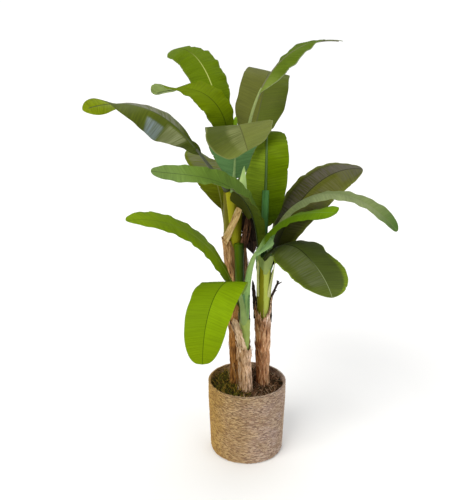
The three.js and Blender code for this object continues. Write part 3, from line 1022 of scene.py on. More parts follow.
def build_fibre_tree() -> GrowthBoard:
    """Loose fibres that lie along a stem, start on its surface and lift slightly off it.

    Returns:
        The finished tree's board.
    """
    board = GrowthBoard("stem_fibres", {
        "Fibres Per Square Metre": 3000.0, "Length": 0.05, "Thickness": 0.0006, "Lift": 0.004,
        "Stray": 0.3, "Seed": 1})
    ask = board.asked
    spread = board.scatter("Fibres Per Square Metre")
    middle = board.join(board.times(ask["Length"], 0.5), 0.0, ask["Lift"])
    tip = board.join(ask["Length"], board.times(ask["Length"], 0.12))
    fibre = board.strand((0.0, 0.0, -0.0004), middle, tip, 4)
    drawn = board.first("FunctionNodeRandomValue", {
        0: (-1.0, -1.0, 0.0), 1: (1.0, 1.0, 0.0), 8: board.plus(ask["Seed"], 1.0)},
        data_type="FLOAT_VECTOR")
    stray = board.first("ShaderNodeVectorMath", {0: drawn, 3: ask["Stray"]}, operation="SCALE")
    upward = board.first("ShaderNodeVectorMath", {0: stray, 1: (0.0, 0.0, 1.0)}, operation="ADD")
    risen = board.first("FunctionNodeAlignRotationToVector", {"Vector": upward}, axis="X")
    laid = board.first("FunctionNodeAlignRotationToVector", {
        "Rotation": risen, "Vector": spread["Normal"]}, axis="Z", pivot_axis="X")
    return board.end(Points=spread[0], Instance=fibre, Rotation=laid, Scale=board.chance(0.4, 1.3, 2.0))


@dataclass
class Arch:
    """The arch rule that leaves and strips share: a line that bends from its rise to its drop."""

    root: Place
    heading: float
    rise: float
    drop: float
    length: float
    roll: Pair = (90.0, 90.0)
    bend_at: float = 0.5
    bend_over: float = 0.5
    turn: float = 0.0
    blade_from: float = 0.0
    tip_roll: float = 0.0
    STEPS = 480

    def line(self, t: Array) -> Line:
        """The arch at shares of its length, also a little below 0, where it runs on straight.

        Args:
            t: shares of the length from root (0) to tip (1).

        Returns:
            Arrays of place, direction, upward normal and sideways direction.
        """
        k = np.linspace(0.0, 1.0, self.STEPS + 1)
        bent = smooth((k - (self.bend_at - self.bend_over / 2)) / self.bend_over)
        e = np.radians(mix(self.rise, self.drop, bent))
        a = np.radians(self.heading + self.turn * k)
        along = np.stack([np.cos(e) * np.cos(a), np.cos(e) * np.sin(a), np.sin(e)], axis=1)
        up = np.stack([-np.sin(e) * np.cos(a), -np.sin(e) * np.sin(a), np.cos(e)], axis=1)
        side = np.cross(along, up)
        s = (k - self.blade_from) / (1.0 - self.blade_from)
        r = np.radians(mix(*self.roll, smooth(s)) + self.tip_roll * smooth((s - 0.66) / 0.34))[:, None]
        rolled = {"along": along, "up": up * np.cos(r) + side * np.sin(r),
                  "side": side * np.cos(r) - up * np.sin(r)}
        steps = (along[:-1] + along[1:]) / 2 * self.length / self.STEPS
        rolled["at"] = np.array(self.root) + np.concatenate([[np.zeros(3)], np.cumsum(steps, axis=0)])
        sample = lambda v: np.stack([np.interp(t, k, v[:, n]) for n in range(3)], axis=1)
        result = {key: sample(v) for key, v in rolled.items()}
        below = np.minimum(t, 0.0)[:, None] * self.length
        result["at"] = result["at"] + along[0] * below
        return result


class RibShape(Enum):
    """Cross sections of tubes and ribs, as height factors above and below the middle."""

    ROUND = (1.0, 1.0, 0.0)
    FLAT = (0.45, 0.5, 0.25)

    def ring(self, count: int) -> Array:
        """Points round the section.

        Args:
            count: number of points.

        Returns:
            Sideways and upward parts of each, for a radius of one.
        """
        above, below, groove = self.value
        a = angles(count)
        dent = 1.0 - groove * np.exp(-((a - np.pi / 2) / 0.42) ** 2)
        high = np.sin(a) * np.where(np.sin(a) > 0, above * dent, below)
        return np.stack([np.cos(a), high], axis=1)


def add_tube(draft: Draft, line: Line, radii: Array, shape: RibShape, slot: int, sides: int = 12) -> None:
    """Adds a closed tube along a line.

    Args:
        draft: mesh that takes the tube.
        line: places and directions along it.
        radii: radius at each place.
        shape: cross section.
        slot: finish number.
        sides: points round the tube.
    """
    ring = shape.ring(sides)
    out = line["side"][:, None] * ring[None, :, :1] + line["up"][:, None] * ring[None, :, 1:]
    draft.add_ring_grid(line["at"][:, None] + out * radii[:, None, None], slot)


@dataclass
class Leaf:
    """One leaf: petiole tube, rib and wavy blade on the arch rule, with its own finish."""

    name: str
    crown: str
    heading: float
    turn: float
    rise: float
    drop: float
    bend_at: float
    bend_over: float
    roll: Pair
    fold: Pair
    curl: float
    petiole: float
    blade: float
    half: float
    finish: LeafFinish
    tip_roll: float = 0.0
    place: float = 0.0
    root: Place | None = None
    split: bool = True
    sleeve: float = 0.03
    tube: Pair = (0.0115, 0.0085)
    rib_width: float = 0.0048
    rib_shape: RibShape = RibShape.FLAT
    tears: int = 3
    tear_depth: float = 0.0045
    base_power: float = 0.85
    tip_power: float = 0.62
    tuck: float = 0.0
    tube_power: float = 1.0
    least: float = 0.0024
    dents: tuple[tuple[float, float, float, float], ...] = ()
    stalk_via: tuple[Place, Place] | None = None
    rib_over: bool = False
    rib_end: float = 0.0013
    wave: float = 0.002
    tail: float = 1.0
    seed: int = 1
    ROWS = 168
    COLUMNS = 13
    THICK = 0.0011
    WIDEST = 0.42
    WANDER = ((0.02, 14.0), (0.012, 33.0))
    TEAR_REACH = 0.006
    WAVES = (0.0125, 0.0071)
    VEIN_SLANT = 0.22
    PLEAT = 0.0088
    PLEAT_DEPTH = 0.0005
    SUNK = 0.03

    def arch(self) -> Arch:
        """Finds the line that the leaf follows.

        Returns:
            The arch, from the leaf's place on the crown.
        """
        length = self.petiole + self.blade
        root = self.root or CROWNS[self.crown].seat_of(self.place)
        return Arch(root, self.heading, self.rise, self.drop, length, self.roll, self.bend_at,
                    self.bend_over, self.turn, self.petiole / length, self.tip_roll)

    def share(self, s: Array) -> Array:
        """Half width of the blade as a share of its widest.

        Args:
            s: shares of the blade's length, from base (0) to tip (1).

        Returns:
            The half width at each share.
        """
        base = np.sin(np.pi / 2 * clamp(s / self.WIDEST)) ** self.base_power
        past = (1.0 - clamp((s - self.WIDEST) / (1.0 - self.WIDEST)) ** 2.6) ** self.tip_power
        return np.where(s < self.WIDEST, base, past)

    def margin(self, s: Array, sign: float, chance: np.random.Generator) -> Array:
        """Half width along one side, with its slow wander, its dents and its small tears.

        Args:
            s: shares of the blade's length.
            sign: -1 for the left half as seen from the petiole, 1 for the right.
            chance: random draws of this side.

        Returns:
            The half width at each share.
        """
        phases = chance.uniform(0.0, TAU, 3)
        wander = sum(size * np.sin(s * pace + phase) for (size, pace), phase in zip(self.WANDER, phases))
        width = self.share(s) * self.half * (1.0 + wander * np.sin(np.pi * clamp(s)))
        width = width * (1.0 - 0.92 * smooth((s - self.tail) / 0.14)) if self.tail < 1.0 else width
        for side, at, reach, depth in self.dents:
            width = width - (depth * np.exp(-(((s - at) * self.blade) / reach) ** 2) if side == sign else 0.0)
        for _ in range(self.tears):
            at, depth = chance.uniform(0.12, 0.9), self.tear_depth * chance.uniform(0.4, 1.0)
            gap = (s - at) * self.blade / self.TEAR_REACH
            width = width - depth * np.clip(1.0 - np.where(gap < 0, -gap * 2.4, gap), 0.0, 1.0)
        return width

    def add_blade(self, draft: Draft, arch: Arch) -> None:
        """Adds the blade: a thin curved sheet with waves along its margins and pleats between veins.

        Args:
            draft: mesh that takes it.
            arch: the leaf's arch.
        """
        q = np.linspace(0.0, 1.0, self.ROWS + 1)
        s = 0.55 * q + 0.225 * (1.0 - np.cos(np.pi * q))
        line = arch.line((self.petiole + s * self.blade) / arch.length)
        chance = np.random.default_rng(self.seed)
        stalk = CROWNS[self.crown].petiole
        u = np.linspace(0.0, 1.0, self.COLUMNS + 1) ** 0.9
        halves = []
        for sign in (-1.0, 1.0):
            least = np.where(s > 0.5, self.least, 0.004)
            half = np.maximum(self.margin(s, sign, chance), least)[:, None]
            opened = clamp((half - stalk) / 0.03)
            fold = np.radians(mix(*self.fold, s))[:, None] * opened
            curl = np.radians(self.curl) * opened
            curl = np.where(np.abs(curl) < 1e-4, 1e-4, curl)
            slope = fold + curl * u
            across = (np.sin(slope) - np.sin(fold)) / curl * half
            lift = (np.cos(fold) - np.cos(slope)) / curl * half
            phases = chance.uniform(0.0, TAU, 3)
            run = (s * self.blade)[:, None]
            far = half * u
            long, short = (np.sin(run / size + phase) for size, phase in zip(self.WAVES, phases))
            swell = long + 0.55 * short
            wave = self.wave * swell * u ** 2.2 * np.sin(np.pi * clamp(run / self.blade)) ** 0.5
            vein = run - self.VEIN_SLANT * far
            pleat = self.PLEAT_DEPTH * np.sin(vein * TAU / self.PLEAT)
            pleat = pleat * smooth(far / 0.012) * smooth((1 - u) * 6)
            normal = (line["up"][:, None] * np.cos(slope)[..., None]
                      - line["side"][:, None] * sign * np.sin(slope)[..., None])
            normal[:, 0] = line["up"]
            middle = (line["at"][:, None] + line["side"][:, None] * sign * across[..., None]
                      + line["up"][:, None] * lift[..., None] + normal * (wave + pleat)[..., None])
            maps = np.stack([sign * far, vein], axis=2)
            shares = np.stack([0.5 + 0.5 * sign * np.broadcast_to(u, far.shape),
                               np.broadcast_to(s[:, None], far.shape)], axis=2)
            halves.append((middle, normal, maps, shares))
        middle, normal, maps, shares = (
            np.concatenate([left[:, :0:-1], right], axis=1) for left, right in zip(*halves))
        rise = normal * self.THICK / 2
        draft.add_sheet(middle + rise, middle - rise, maps, shares, (0, 1))

    def stalk_line(self, arch: Arch, reach: Array) -> Line:
        """Line of the petiole's tube: along the arch, or by way of two points to the blade's base.

        Args:
            arch: the leaf's arch.
            reach: distances along the arch from its root.

        Returns:
            Places and directions, as the arch gives them.
        """
        line = arch.line(reach / arch.length)
        inward = np.array(CROWNS[self.crown].centre) - np.array(arch.root)[:2]
        line["at"][:, :2] += self.tuck * inward * clamp((0.03 - reach) / 0.05)[:, None]
        if self.stalk_via is None:
            return line
        k = clamp((reach - reach[0]) / (reach[-1] - reach[0]))[:, None]
        end, way = line["at"][-1], line["along"][-1]
        points = (np.array(self.stalk_via[0]), np.array(self.stalk_via[1]), end - way * 0.06, end)
        weights = ((1 - k) ** 3, 3 * k * (1 - k) ** 2, 3 * k ** 2 * (1 - k), k ** 3)
        line["at"] = sum(point * weight for point, weight in zip(points, weights))
        along = unit(np.gradient(line["at"], axis=0))
        line["side"] = unit(np.cross(along, line["up"]))
        line["up"] = np.cross(line["side"], along)
        return line

    def add_rib(self, draft: Draft, arch: Arch) -> None:
        """Adds the petiole's tube, cut square on the blade, and the rib that runs on to the tip.

        Args:
            draft: mesh that takes it.
            arch: the leaf's arch.
        """
        over = min(self.sleeve, self.blade * 0.8)
        reach = np.linspace(-self.SUNK, self.petiole + over, 40)
        k = clamp(reach / (self.petiole + over))
        swollen = 1.0 + 0.35 * clamp(1.0 - reach / 0.07) ** 2
        radii = mix(*self.tube, k ** self.tube_power) * swollen
        radii[-1] -= 0.0008
        add_tube(draft, self.stalk_line(arch, reach), radii, RibShape.ROUND, 3, 14)
        start = 0.6 if self.rib_over else 0.97
        reach = np.linspace(self.petiole * start, self.petiole + self.blade * 0.955, 90)
        k = clamp((reach - self.petiole) / self.blade)
        radii = mix(self.rib_width, self.rib_end, k ** 0.8)
        line = arch.line(reach / arch.length)
        if not self.rib_over:
            line["at"] = line["at"] - line["up"] * (radii * 0.5)[:, None]
        add_tube(draft, line, radii, self.rib_shape, 2)

    def make(self) -> Piece:
        """Builds the leaf and puts it in place of its CAD nodes.

        Returns:
            The seated piece.
        """
        arch = self.arch()
        draft = Draft()
        self.add_blade(draft, arch)
        self.add_rib(draft, arch)
        piece = draft.make(f"dressed_{self.name}", self.finish.materials(), 42.0)
        nodes = [self.name, f"{self.name}_tip"] if self.split else [self.name]
        slot = "young_leaf" if self.name in ("leaf_a2", "leaf_b14", "leaf_b15") else "leaf"
        return seat(piece, slot, *nodes)


@dataclass(frozen=True)
class Crown:
    """The ring on top of a stem where its petioles stand."""

    centre: Pair
    top: float
    ring: float
    petiole: float

    def seat_of(self, place: float) -> Place:
        """Root of a petiole at an angle round the ring."""
        a = math.radians(place)
        return (self.centre[0] + self.ring * math.cos(a), self.centre[1] + self.ring * math.sin(a), self.top)


CROWNS = {
    "a": Crown((-0.061, 0.02), 1.13, 0.027, 0.009),
    "b": Crown((-0.012, -0.06), 0.62, 0.012, 0.0075),
    "c": Crown((0.066, 0.0), 0.79, 0.024, 0.0085),
}


@dataclass(frozen=True)
class StemLine:
    """Centre line and radius of a stem between two heights, as in the part's source."""

    low: float
    high: float
    foot: Pair
    head: Pair
    sway: Pair
    radii: Pair
    flare: float = 0.0

    def share(self, z: Array) -> Array:
        """Share of the way up the stem at heights z."""
        return (z - self.low) / (self.high - self.low)

    def centre(self, z: Array) -> Array:
        """Centre line of the stem.

        Args:
            z: heights.

        Returns:
            The x and y of the line at each height.
        """
        k = self.share(z)
        return np.stack([mix(self.foot[n], self.head[n], k) + self.sway[n] * 4 * k * (1 - k)
                         for n in (0, 1)], axis=-1)

    def radius(self, z: Array) -> Array:
        """Radius of the stem at heights z, with its root flare."""
        k = self.share(z)
        return mix(*self.radii, k) + self.flare * clamp(1 - 6 * k) ** 2

    def skin(self, a: Array, radius: Array, z: Array) -> Array:
        """Points round the stem.

        Args:
            a: angles in radians.
            radius: distance of each point from the centre line.
            z: height of each point.

        Returns:
            The points, rows by columns.
        """
        ring = np.stack([np.cos(a), np.sin(a)], axis=2)
        return np.concatenate([self.centre(z) + radius[..., None] * ring, z[..., None]], axis=2)

    def lobe(self, a: Array, z: Array) -> Array:
        """Factor on the radius for the wrapped sheaths."""
        return 1 + 0.025 * np.cos(3 * a + z / 0.16) + 0.015 * np.cos(5 * a - z / 0.09)


STEM_LINES = {
    "husk_a": StemLine(0.292, 0.925, (-0.03, 0.02), (-0.056, 0.02), (0.006, 0.0), (0.042, 0.048), 0.004),
    "green_a": StemLine(0.62, 1.13, (-0.052, 0.02), (-0.061, 0.02), (-0.005, 0.0), (0.029, 0.0405)),
    "husk_b": StemLine(0.292, 0.496, (-0.006, -0.056), (-0.0165, -0.058), (0.001, 0.0), (0.029, 0.027),
                       0.004),
    "green_b": StemLine(0.496, 0.62, (-0.014, -0.058), (-0.012, -0.06), (0.0, 0.0), (0.02, 0.022)),
    "husk_c": StemLine(0.292, 0.618, (0.068, 0.003), (0.064, 0.001), (-0.001, 0.0), (0.026, 0.035), 0.003),
    "green_c": StemLine(0.618, 0.848, (0.064, 0.001), (0.0665, 0.0), (0.0, 0.0), (0.028, 0.0295)),
    "sheath_a": StemLine(0.715, 0.925, (-0.032, -0.024), (-0.038, -0.024), (0.0, 0.0), (0.019, 0.019)),
}


@dataclass
class Husk:
    """Dry fibrous husk round the foot of a stem: ridged outside, with a torn top edge."""

    name: str
    line: StemLine
    finish: FibreFinish
    nodes: tuple[str, ...]
    top: float
    notches: tuple[tuple[float, float, float, float], ...] = ()
    ragged: float = 0.012
    fibres: float = 2600.0
    sink: float = 0.006
    skew: float = 0.0
    knots: tuple[float, ...] = ()
    seed: int = 1
    SIDES = 168
    ROW_STEP = 0.0036

    def top_edge(self, a: Array) -> Array:
        """Height of the torn top at angles round the stem, in degrees.

        Args:
            a: angles in degrees.

        Returns:
            Heights: the named top less each notch, which is (angle, half width, depth, slope's width).
        """
        noise = Noise(self.seed + 40)
        edge = self.top - self.ragged * (0.5 + 0.5 * noise.at(a / 360.0 * 44, a * 0.0, 44))
        edge = edge - 0.5 * self.ragged * (0.5 + 0.5 * noise.at(a / 360.0 * 120, a * 0.0 + 9, 120))
        for angle, width, depth, slope in self.notches:
            off = np.abs((a - angle + 180.0) % 360.0 - 180.0)
            edge = edge - depth * clamp((width - off) / slope)
        return edge

    def relief(self, a: Array, z: Array) -> Array:
        """Height of the husk's relief over its smooth radius.

        Args:
            a: angles in radians.
            z: heights.

        Returns:
            The relief of plates, ridges, fibres, cracks and knots.
        """
        noise = Noise(self.seed)
        turn = a / TAU + self.skew * z
        plates = 0.0026 * np.abs(noise.at(turn * 9, z / 0.07, 9))
        ridges = 0.0018 * noise.at(turn * 26, z / 0.04, 26)
        fibres = 0.0009 * noise.at(turn * 64, z / 0.016, 64)
        crack = 1.0 - np.abs(noise.at(turn * 14, z / 0.06 + 31.0, 14))
        cracks = -0.0034 * clamp((crack - 0.84) / 0.16) ** 1.5
        bulge = sum(0.0038 * np.exp(-((z - knot - 0.004 * np.sin(a * 2 + knot * 90)) / 0.007) ** 2)
                    * (0.55 + 0.45 * noise.at(turn * 18, z / 0.006, 18)) for knot in self.knots)
        return plates + ridges + fibres + cracks + bulge

    def make(self) -> list[Piece]:
        """Builds the husk and its loose fibres, and puts them in place.

        Returns:
            The husk and the fibres.
        """
        a = angles(self.SIDES)[None, :]
        edge = self.top_edge(np.degrees(a))
        rows = int((self.top - self.line.low) / self.ROW_STEP)
        k = np.linspace(0.0, 1.0, rows + 1)[:, None]
        z = mix(self.line.low - self.sink, edge, k)
        over = clamp((z - edge + 0.03) / 0.03)
        lip = 0.0022 * over ** 2 * (1.0 + Noise(self.seed + 7).at(a / TAU * 30, z * 0, 30))
        radius = self.line.radius(z) * self.line.lobe(a, z) + self.relief(a, z) + lip - 0.001
        inner = [(0.0, -0.0026), (-0.012, -0.0044), (-0.028, -0.0052)]
        brim = self.line.radius(edge) * self.line.lobe(a, edge) + lip[-1:]
        shells = [radius] + [brim + inward for _, inward in inner]
        heights = [z] + [edge + down for down, _ in inner]
        radius, z = np.concatenate(shells), np.concatenate(heights)
        draft = Draft()
        draft.add_ring_grid(self.line.skin(a, radius, z), 0)
        body = draft.make(f"dressed_{self.name}", [self.finish.material()], 60.0)
        strand = TuftFinish(f"{self.name}_strand", self.finish.light, dim(self.finish.middle, 0.5)).material()
        loose = FIBRE_TREE.grow(
            f"loose_fibres_{self.name}", body.data, strand, Fibres_Per_Square_Metre=self.fibres,
            Length=0.034, Thickness=0.0007, Lift=0.0022, Stray=0.16, Seed=self.seed)
        return [seat(body, "husk", *self.nodes), seat(loose, "husk")]


@dataclass
class GreenStem:
    """Smooth pseudostem of wrapped sheaths, whose free edges wind up it."""

    name: str
    line: StemLine
    finish: StemFinish
    node: str
    slot: str
    low: float
    wraps: int = 3
    wind: float = 0.5
    phase: float = 0.0
    closing: float = 0.004
    STEP = 0.0022
    SIDES = 144
    ROWS = 90

    def make(self) -> Piece:
        """Builds the stem and puts it in place of its CAD node.

        Returns:
            The seated piece.
        """
        a = np.linspace(0.0, TAU, self.SIDES + 1)[None, :]
        z = np.linspace(self.low, self.line.high, self.ROWS)[:, None]
        turn = (a / TAU * self.wraps + z / self.wind + self.phase) % 1.0
        maps = np.stack([turn, np.broadcast_to(z, turn.shape)], axis=2)
        maps = np.concatenate([maps, np.repeat(maps[-1:], 3, axis=0)])
        a, turn = a[:, :-1], turn[:, :-1]
        saw = np.where(turn > 0.06, (1.0 - turn) / 0.94, turn / 0.06)
        radius = self.line.radius(z) * self.line.lobe(a, z) + self.STEP * (saw - 0.8)
        radius = radius * np.sqrt(1.02 - clamp(1.0 - (self.line.high - z) / self.closing) ** 2)
        top = radius[-1:]
        shells = np.concatenate([radius, top * 0.93, top * 0.6, top * 0.2])
        drop = [0.0015, -0.003, -0.006]
        heights = np.concatenate([z + 0 * a] + [np.full_like(top, self.line.high + d) for d in drop])
        draft = Draft()
        draft.add_ring_grid(self.line.skin(a, shells, heights), 0, maps)
        return draft.dress(f"dressed_{self.name}", self.finish, 60.0, self.slot, self.node)


@dataclass
class Strip:
    """Torn or dried piece of sheath on the arch rule, with ragged edges and a lengthwise twist."""

    name: str
    arch: Arch
    width: Pair
    thick: float
    finish: FibreFinish | StemFinish
    slot: str
    ragged: float = 0.15
    cup: float = 0.25
    square: bool = False
    spare: bool = False
    start: float = 0.0
    seed: int = 1
    ROWS = 46
    COLUMNS = 10

    def make(self) -> Piece:
        """Builds the strip and puts it in place of its CAD node.

        Returns:
            The seated piece.
        """
        t = np.linspace(self.start, 1.0, self.ROWS + 1)
        line = self.arch.line(t)
        noise = Noise(self.seed)
        u = np.linspace(-1.0, 1.0, self.COLUMNS + 1)[None, :]
        half = mix(*self.width, clamp(t))[:, None] / 2
        if not self.square:
            half = half * (1.0 - clamp((t - 0.8) / 0.2) ** 2)[:, None] + 0.0008
        edge = 1.0 + self.ragged * noise.at(t * 23, t * 0 + 2)[:, None] * u
        groove = self.thick * 0.35 * noise.at(u * 5 + 8, (t * 6)[:, None])
        wave = self.thick * 0.8 * noise.at(u * 0.8 + 30, (t * 5)[:, None])
        middle = (line["at"][:, None] + line["side"][:, None] * (u * half * edge)[..., None]
                  + line["up"][:, None] * (wave - self.cup * half * u ** 2)[..., None])
        rise = line["up"][:, None] * (self.thick * 0.3 * (1 - 0.6 * u ** 2) + groove * 0.5)[..., None]
        maps = np.stack(np.broadcast_arrays(u * half, (t * self.arch.length)[:, None]), axis=2)
        draft = Draft()
        draft.add_sheet(middle + rise, middle - rise, maps, maps, (0, 0))
        nodes = [] if self.spare else [self.name]
        return draft.dress(f"dressed_{self.name}", self.finish, 40.0, self.slot, *nodes)


@dataclass
class Twig:
    """Thin dark dried stalk that forks near its tip."""

    name: str
    arch: Arch
    radii: Pair
    forks: tuple[tuple[float, float, float], ...]
    finish: FibreFinish
    seed: int = 1

    def make(self) -> Piece:
        """Builds the stalk and its forks, each (start share, sideways turn, length).

        Returns:
            The seated piece.
        """
        t = np.linspace(-0.1, 1.0, 34)
        line = self.arch.line(t)
        noise = Noise(self.seed)
        bumps = 1.0 + 0.25 * noise.at(t * 17 + 3, t * 0)
        draft = Draft()
        add_tube(draft, line, mix(*self.radii, clamp(t)) * bumps, RibShape.ROUND, 0, 9)
        for start, turn, length in self.forks:
            base = {key: value[0] for key, value in self.arch.line(np.array([start])).items()}
            k = np.linspace(0.0, 1.0, 9)[:, None]
            off = math.radians(turn)
            way = unit(base["along"] * math.cos(off) + base["side"] * math.sin(off))
            bend = base["up"] * 0.15 * length * k ** 2
            fork = {"at": base["at"] + way * length * k + bend,
                    "side": np.repeat(base["up"][None], 9, axis=0),
                    "up": np.repeat(np.cross(way, base["up"])[None], 9, axis=0)}
            add_tube(draft, fork, mix(self.radii[1], self.radii[1] * 0.35, k[:, 0]), RibShape.ROUND, 0, 7)
        return draft.dress(f"dressed_{self.name}", self.finish, 60.0, "dried", self.name)


@dataclass
class Wrap:
    """Piece of sheath wrapped round a stem, between a lower and an upper edge of its own shape."""

    name: str
    line: StemLine
    low: tuple[Pair, ...]
    high: tuple[Pair, ...]
    finish: FibreFinish | StemFinish
    slot: str
    spare: bool = False
    gap: float = 0.0015
    lean: Pair = (0.0, 0.005)
    ragged: float = 0.0
    seed: int = 1
    ROWS = 30
    COLUMNS = 96
    THICK = 0.0014

    def make(self) -> Piece:
        """Builds the wrap; each edge is a row of (angle, height) points.

        Returns:
            The seated piece.
        """
        degrees = np.linspace(self.low[0][0], self.low[-1][0], self.COLUMNS + 1)[None, :]
        low, high = (np.interp(degrees, *zip(*edge)) for edge in (self.low, self.high))
        noise = Noise(self.seed)
        torn = self.ragged * (noise.at(degrees / 5.0, degrees * 0)
                              + 0.6 * noise.at(degrees / 2.0, degrees * 0 + 7))
        low, high = low + torn, high + 0.4 * torn
        a, t = np.radians(degrees), np.linspace(0.0, 1.0, self.ROWS + 1)[:, None]
        z = mix(low, high, t)
        foot, head = float(low.min()), float(high.max())
        rise = clamp((z - foot) / (head - foot))
        lean = self.lean[0] * (1.0 - rise) ** 2 + self.lean[1] * smooth(rise)
        flute = 0.0004 * np.sin(degrees / 360.0 * TAU * 22)
        radius = self.line.radius(np.minimum(z, self.line.high)) + self.gap + lean + flute
        maps = np.stack([np.broadcast_to(a * 0.035, z.shape), z], axis=2)
        outer, inner = (self.line.skin(a, radius + way * self.THICK / 2, z) for way in (1, -1))
        draft = Draft()
        draft.add_sheet(outer, inner, maps, maps, (0, 0))
        nodes = [] if self.spare else [self.name]
        return draft.dress(f"dressed_{self.name}", self.finish, 50.0, self.slot, *nodes)


@dataclass
class Spear:
    """The rolled new leaf on the tall stem's crown: a rolled sheet whose free edge winds up it."""

    radii: tuple[float, float, float] = (0.013, 0.011, 0.007)
    length: float = 0.286
    lean: Pair = (0.01, -0.006)
    ROWS = 80
    SIDES = 30

    def make(self) -> Piece:
        """Builds the rolled leaf and puts it in place of its CAD node.

        Returns:
            The seated piece.
        """
        crown = CROWNS["a"]
        k = np.linspace(0.0, 1.0, self.ROWS + 1)[:, None]
        a = angles(self.SIDES)[None, :]
        foot, middle, tip = self.radii
        r = np.where(k < 0.5, mix(foot, middle, k * 2), mix(middle, tip, k * 2 - 1))
        turn = (a / TAU + k * 1.3) % 1.0
        r = r * (1.0 + 0.16 * (turn - 0.7)) * np.sqrt(clamp(1.04 - clamp((k - 0.955) / 0.045) ** 2))
        spot = np.stack([crown.centre[0] + self.lean[0] * k + r * np.cos(a),
                         crown.centre[1] + self.lean[1] * k + r * np.sin(a),
                         np.broadcast_to(crown.top + self.length * k, r.shape)], axis=2)
        draft = Draft()
        draft.add_ring_grid(spot, 0)
        return draft.dress("dressed_new_leaf", SPEAR_LIME, 60.0, "young_leaf", "new_leaf_spear")


@dataclass
class Basket:
    """Round basket of twisted seagrass rows on a thin core, with a coiled rim."""

    height: float = 0.317
    rim: float = 0.165
    foot: float = 0.156
    wall: float = 0.009
    edge: float = 0.013
    rows: int = 52
    strand: float = 0.0047
    per_row: int = 98
    inner_from: float = 0.27
    seed: int = 11
    RIM_WRAPS = 110
    COIL = 0.006

    def radius(self, z: float) -> float:
        """Outer radius of the wall, with its rounded foot.

        Args:
            z: height.

        Returns:
            The radius there.
        """
        if z < self.edge:
            return self.foot - self.edge + math.sqrt(max(self.edge ** 2 - (self.edge - z) ** 2, 0.0))
        return mix(self.foot, self.rim, float(clamp((z - self.edge) / (self.height * 0.75 - self.edge))))

    def profile(self, inside: bool) -> bpy.types.Mesh:
        """One point for each row of strands, at (radius, 0, height).

        Args:
            inside: whether the rows are those inside the wall, above the filling.

        Returns:
            The points as a mesh.
        """
        pitch = self.height / self.rows
        heights = [max(pitch * (n + 0.56), 0.005) for n in range(self.rows)]
        sunk = self.wall - self.strand * 0.5 if inside else self.strand * 0.5
        points = [(self.radius(z) - sunk, 0.0, z) for z in heights if not inside or z > self.inner_from]
        mesh = bpy.data.meshes.new("wall_profile")
        mesh.from_pydata(points, [], [])
        return mesh

    def make_core(self) -> Piece:
        """The woven wall behind the strands, and the coiled underside.

        Returns:
            The seated piece.
        """
        skin = self.strand * 0.55
        up = [(self.radius(z) - skin, z) for z in np.linspace(0.004, self.height - 0.004, 40)]
        down = [(self.radius(z) - self.wall + skin, z) for z in np.linspace(self.height - 0.004, 0.02, 30)]
        coil = [(r, 0.0026 + 0.0014 * math.cos(r / self.COIL * TAU))
                for r in np.linspace(0.004, 0.142, 120)]
        profile = coil + up + down + [(0.1, 0.012), (0.004, 0.012)]
        a, (r, z) = angles(96), np.array(profile).T[..., None]
        draft = Draft()
        draft.add_ring_grid(np.stack(np.broadcast_arrays(r * np.cos(a), r * np.sin(a), z), axis=2), 0)
        finish = RopeFinish("seagrass_core", (0.12, 0.07, 0.032), (0.06, 0.036, 0.02))
        return draft.dress("basket_core", finish, 60.0, "basket", "basket")

    def make_strands(self) -> list[Piece]:
        """The rows of strands in three tones, outside and at the top inside.

        Returns:
            The seated pieces.
        """
        tones = {
            "straw": (0.0, 0.34, (0.56, 0.385, 0.19), (0.48, 0.34, 0.21)),
            "tan": (0.34, 0.8, (0.44, 0.285, 0.135), (0.38, 0.255, 0.15)),
            "brown": (0.8, 1.01, (0.34, 0.205, 0.1), (0.3, 0.19, 0.115)),
        }
        made = []
        for tone, (low, high, colour, patch) in tones.items():
            finish = RopeFinish(f"seagrass_{tone}", colour, patch).material()
            for side, inside in (("outer", False), ("inner", True)):
                piece = ROPE_TREE.grow(
                    f"strands_{side}_{tone}", self.profile(inside), finish,
                    Strands_Per_Row=self.per_row, Strand_Length=0.0185, Strand_Thickness=self.strand,
                    Slant=-0.12 if inside else 0.12, Tone_From=low, Tone_To=high,
                    Seed=self.seed + (50 if inside else 0))
                made.append(seat(piece, "basket"))
        return made

    def make_rim(self) -> Piece:
        """The rolled coil along the top edge, wrapped at a slant.

        Returns:
            The seated piece.
        """
        sides, steps = 10, 720
        a, b = angles(steps)[:, None], angles(sides)[None, :]
        thick = 0.0024 + 0.0006 * np.abs(np.sin((a * self.RIM_WRAPS + b) % TAU / 2))
        ring = self.rim - self.wall / 2 + thick * np.cos(b) * 1.5
        z = self.height - 0.003 + thick * np.sin(b)
        draft = Draft()
        ids = draft.add_points(np.stack([ring * np.cos(a), ring * np.sin(a), z], axis=2))
        flat = np.stack(np.meshgrid(np.arange(sides + 1) * 0.0022, np.arange(steps + 1) * 0.00144), axis=2)
        draft.add_quads(np.pad(ids, (0, 1), "wrap"), flat, flat, 0)
        finish = RopeFinish("seagrass_rim", (0.26, 0.175, 0.095), (0.16, 0.105, 0.06))
        return draft.dress("basket_rim", finish, 60.0, "basket")

    def make(self) -> list[Piece]:
        """Builds the whole basket."""
        return [self.make_core(), *self.make_strands(), self.make_rim()]


